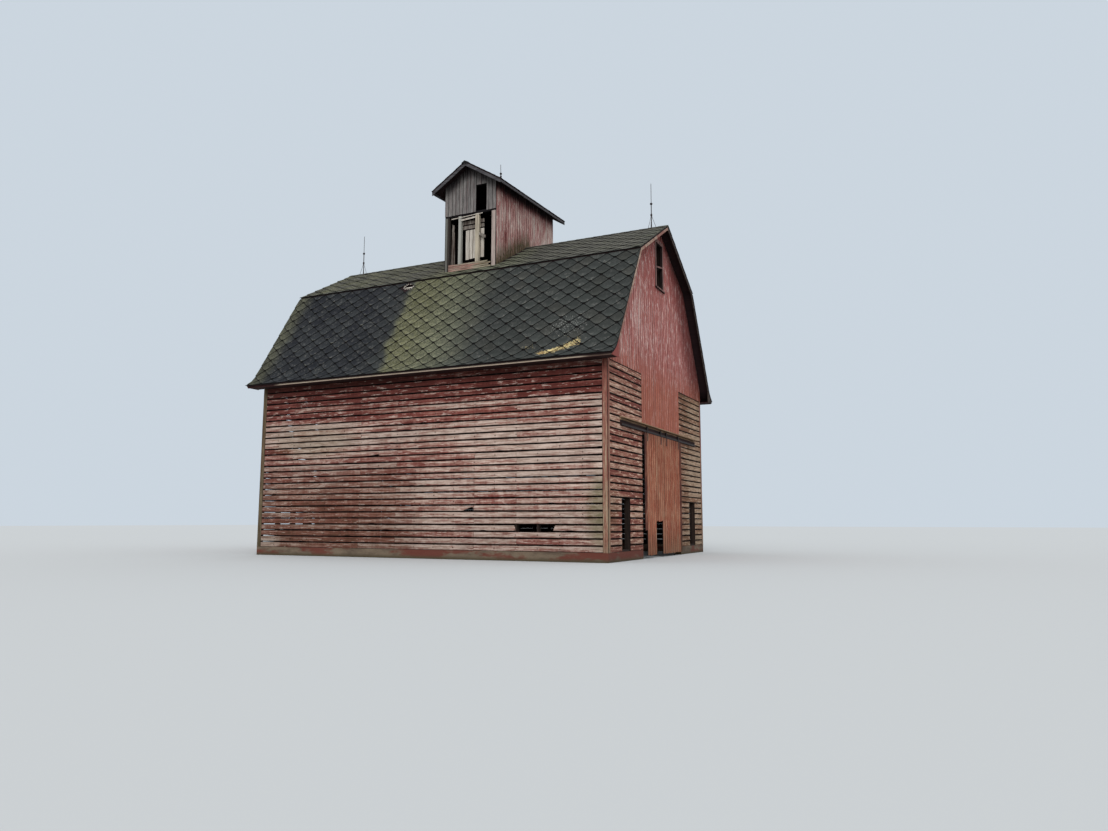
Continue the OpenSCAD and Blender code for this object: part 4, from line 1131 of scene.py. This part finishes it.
def eave_board():
    """The fascias: a pale line of old paint under the roof's edge, and dark below it with painted shade."""
    s = Shader("eave_paint")
    grain = s.noise((1.5, 30.0, 30.0), 5.0, 0.65)
    stain = s.noise((0.9, 3.0, 3.0), 4.0, 0.7)
    ends = s.math("MAXIMUM", s.ramp(s.place("X"), -4.4, -4.8), s.ramp(s.place("X"), 4.9, 5.2, 0.0, 0.8))
    pale = s.coats((196, 178, 158), ((120, 92, 80), stain, 0.5, 0.75, 0.0, 0.7), ((58, 34, 32), ends))
    line = s.plus(s.place("Z"), s.times(stain, 0.02))
    return s.finish(s.coats((58, 34, 30), ((34, 20, 19), grain, 0.3, 0.7),
                            (pale, line, EAVE_Z - 0.062, EAVE_Z - 0.056)), grain)


def hood_timber():
    """The hoods over the door tracks, pale along the top and dark below it with painted shade."""
    s = Shader("hood_wood")
    grain = s.noise((34.0, 1.5, 34.0), 5.0, 0.65)
    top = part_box("door_tracks")[1].z
    pale = s.coats((176, 148, 118), ((120, 92, 72), grain, 0.32, 0.68))
    return s.finish(s.coats((66, 42, 40), ((34, 20, 20), grain, 0.32, 0.68),
                            (pale, s.place("Z"), top - 0.09, top - 0.075)), grain)


def window_timber():
    """Casings with a little pink paint, their reveals dark with painted shade."""
    s = Shader("window_wood")
    grain = s.noise((10.0, 8.0, 3.0), 5.0, 0.65)
    normal = s.nodes.new("ShaderNodeSeparateXYZ")
    s.links.new(s.nodes.new("ShaderNodeNewGeometry").outputs["True Normal"], normal.inputs[0])
    face = s.coats((138, 104, 98), ((92, 68, 64), grain, 0.35, 0.65))
    return s.finish(s.coats((52, 38, 36), ((30, 23, 22), grain, 0.3, 0.7),
                            (face, s.math("ABSOLUTE", normal.outputs["X"]), 0.6, 0.9)), grain)


def iron():
    """Dull weathered iron."""
    s = Shader("old_iron", 0.6)
    s.surface.inputs["Metallic"].default_value = 0.3
    spots = s.noise((40, 40, 40), 4.0, 0.65)
    return s.finish(s.coats((44, 40, 41), ((68, 46, 38), spots, 0.45, 0.65)), spots, 0.001)


WALL_RED = ((132, 72, 64), (92, 44, 38))
front_paint = painted_wood(
    "front_paint", "x", ((220, 196, 182), (156, 128, 113)), (160, 118, 105), WALL_RED,
    seam_shade=1.0, chalk=0.65, studs=True)
end_paint = painted_wood(
    "end_paint", "y", ((226, 192, 170), (156, 118, 98)), (158, 108, 90), ((132, 70, 60), (84, 40, 34)),
    seam_shade=1.0, chalk=0.9)
gable_paint = painted_wood(
    "gable_paint", "z", ((238, 214, 206), (198, 160, 152)), (190, 122, 114), ((168, 96, 90), (136, 66, 62)),
    grime=(58, 26, 26), green=(176, 104, 78), seam_shade=0.25, chalk=0.8)
leaf_paint = painted_wood(
    "leaf_paint", "z", ((204, 162, 132), (160, 118, 92)), (172, 102, 76), ((156, 82, 60), (92, 42, 36)),
    seam_shade=0.25, chalk=0.65)
corner_paint = painted_wood(
    "corner_paint", "z", ((190, 164, 138), (136, 116, 96)), (152, 98, 84), WALL_RED)
silver_wood = painted_wood(
    "silver_wood", "z", ((150, 146, 142), (92, 88, 86)), (132, 120, 118), WALL_RED, grime=(36, 31, 35))
cupola_paint = painted_wood(
    "cupola_paint", "z", ((208, 190, 180), (166, 142, 132)), (168, 122, 116), ((134, 74, 72), (82, 38, 40)),
    grime=(14, 9, 16), green=(78, 70, 46), seam_shade=0.2, chalk=0.75)
pale_wood = painted_wood(
    "pale_wood", "z", ((220, 212, 200), (172, 162, 150)), (190, 174, 162), WALL_RED)
base_paint = painted_wood(
    "base_paint", "x", ((196, 182, 164), (140, 124, 108)), (176, 132, 122), ((152, 112, 104), (116, 78, 72)))
old_shingle = shingle()

# The built pieces
front_slats.build("front_slat_boards", front_paint, "slat_paint", "front_slats")
back_slats.build("back_slat_boards", front_paint, "slat_paint", "back_slats")
right_ends.build("right_crib_slat_boards", end_paint, "end_slat_paint", "right_crib_slats")
left_ends.build("left_crib_slat_boards", end_paint, "end_slat_paint", "left_crib_slats")
right_gable.build("right_gable_planks", gable_paint, "gable_paint", "right_gable_boards")
left_gable.build("left_gable_planks", gable_paint, "gable_paint", "left_gable_boards")
corners.build("corner_planks", corner_paint, "corner_paint", "corner_boards")
front_leaf.build("front_leaf_planks", leaf_paint, "door_paint", "front_door_boards", "front_door")
back_leaf.build("back_leaf_planks", leaf_paint, "door_paint", "back_door_boards", "back_door")
far_leaves.build("far_leaf_planks", leaf_paint, "door_paint", "far_door_boards")
for name, mesh in roof_pieces.items():
    mesh.build(name, old_shingle, "roof_shingle")
hole_wood.build("roof_hole_splinters", pale_wood, "rake_wood")
cupola_front.build("cupola_front_planks", silver_wood, "silver_wood", "cupola_gable_boards")
cupola_rear.build("cupola_back_planks", cupola_paint, "cupola_paint", "cupola_back_boards")
cupola_sides.build("cupola_side_planks", cupola_paint, "cupola_paint", "cupola_side_boards")
panel.build("cupola_panel_boards", pale_wood, "panel_wood", "cupola_inner_panel")
bay_bits.build("cupola_bay_boards", pale_wood, "panel_wood")
base_board.build("cupola_base_strips", base_paint, "cupola_paint", "cupola_base_board")

# Materials of the frame's own nodes
for material, names in (
        (concrete(), "foundation"),
        # The studs and rafters below are dark as painted shade inside the barn
        (plain_timber("stud_wood", "z", (58, 44, 37), (32, 25, 22)),
         "front_frame back_frame crib_end_frames gable_frames"),
        (plain_timber("rafter_wood", "x", (58, 44, 38), (32, 25, 22)),
         "lower_rafters upper_rafters ridge_board collar_ties"),
        (window_timber(), "window_frames"),
        (hood_timber(), "door_tracks"),
        (plain_timber("ledge_wood", "y", (84, 64, 52), (46, 34, 29)),
         "front_door_ledges back_door_ledges far_door_ledges"),
        (iron(), "door_rails front_door_hangers back_door_hangers far_door_hangers lightning_rods"),
        (roof_deck(), "lower_roof_front lower_roof_back upper_roof_front upper_roof_back cupola_roof_left "
                      "cupola_roof_right"),
        (eave_board(), "eave_fascias"),
        (plain_timber("soffit_paint", "x", (58, 28, 26), (34, 18, 17)), "eave_soffits"),
        (rake_timber(), "rake_boards"),
        (plain_timber("cupola_rake", "x", (98, 96, 98), (50, 47, 50)), "cupola_rake_boards"),
        (cupola_timber(), "cupola_frame")):
    for name in names.split():
        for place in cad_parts[name].material_slots:
            place.material = material

# Floor, sky and lamp, whose colours of four values are linear
FLOOR_REACH = 160.0
floor_mesh = bpy.data.meshes.new("floor")
floor_mesh.from_pydata([(x * FLOOR_REACH, y * FLOOR_REACH, -0.002)
                        for x, y in ((-1, -1), (1, -1), (1, 1), (-1, 1))], [], [[0, 1, 2, 3]])
floor = bpy.data.objects.new("floor", floor_mesh)
bpy.context.scene.collection.objects.link(floor)
floor_shader = Shader("floor", 1.0, 0.0)
floor_colour = floor_shader.mix(floor_shader.seen(), (0.22, 0.22, 0.21, 1.0), (0.50, 0.51, 0.51, 1.0))
floor_shader.put(floor_shader.surface.inputs["Base Color"], floor_colour)
floor_mesh.materials.append(floor_shader.material)

world = bpy.data.worlds.new("sky")
bpy.context.scene.world = world
world.use_nodes = True
sky = Nodes(world.node_tree)
background = sky.nodes["Background"]
background.inputs["Strength"].default_value = 1.0
sky.put(background.inputs["Color"], sky.mix(sky.seen(), (0.92, 0.96, 1.0, 1.0), (0.60, 0.67, 0.74, 1.0)))

key_lamp = bpy.data.lights.new("key", "SUN")
key_lamp.energy = 1.5
key_lamp.angle = math.radians(50)
key = bpy.data.objects.new("key", key_lamp)
key.rotation_euler = (math.radians(52), 0.0, math.radians(24))
bpy.context.scene.collection.objects.link(key)
bpy.context.scene.view_settings.view_transform = "Standard"
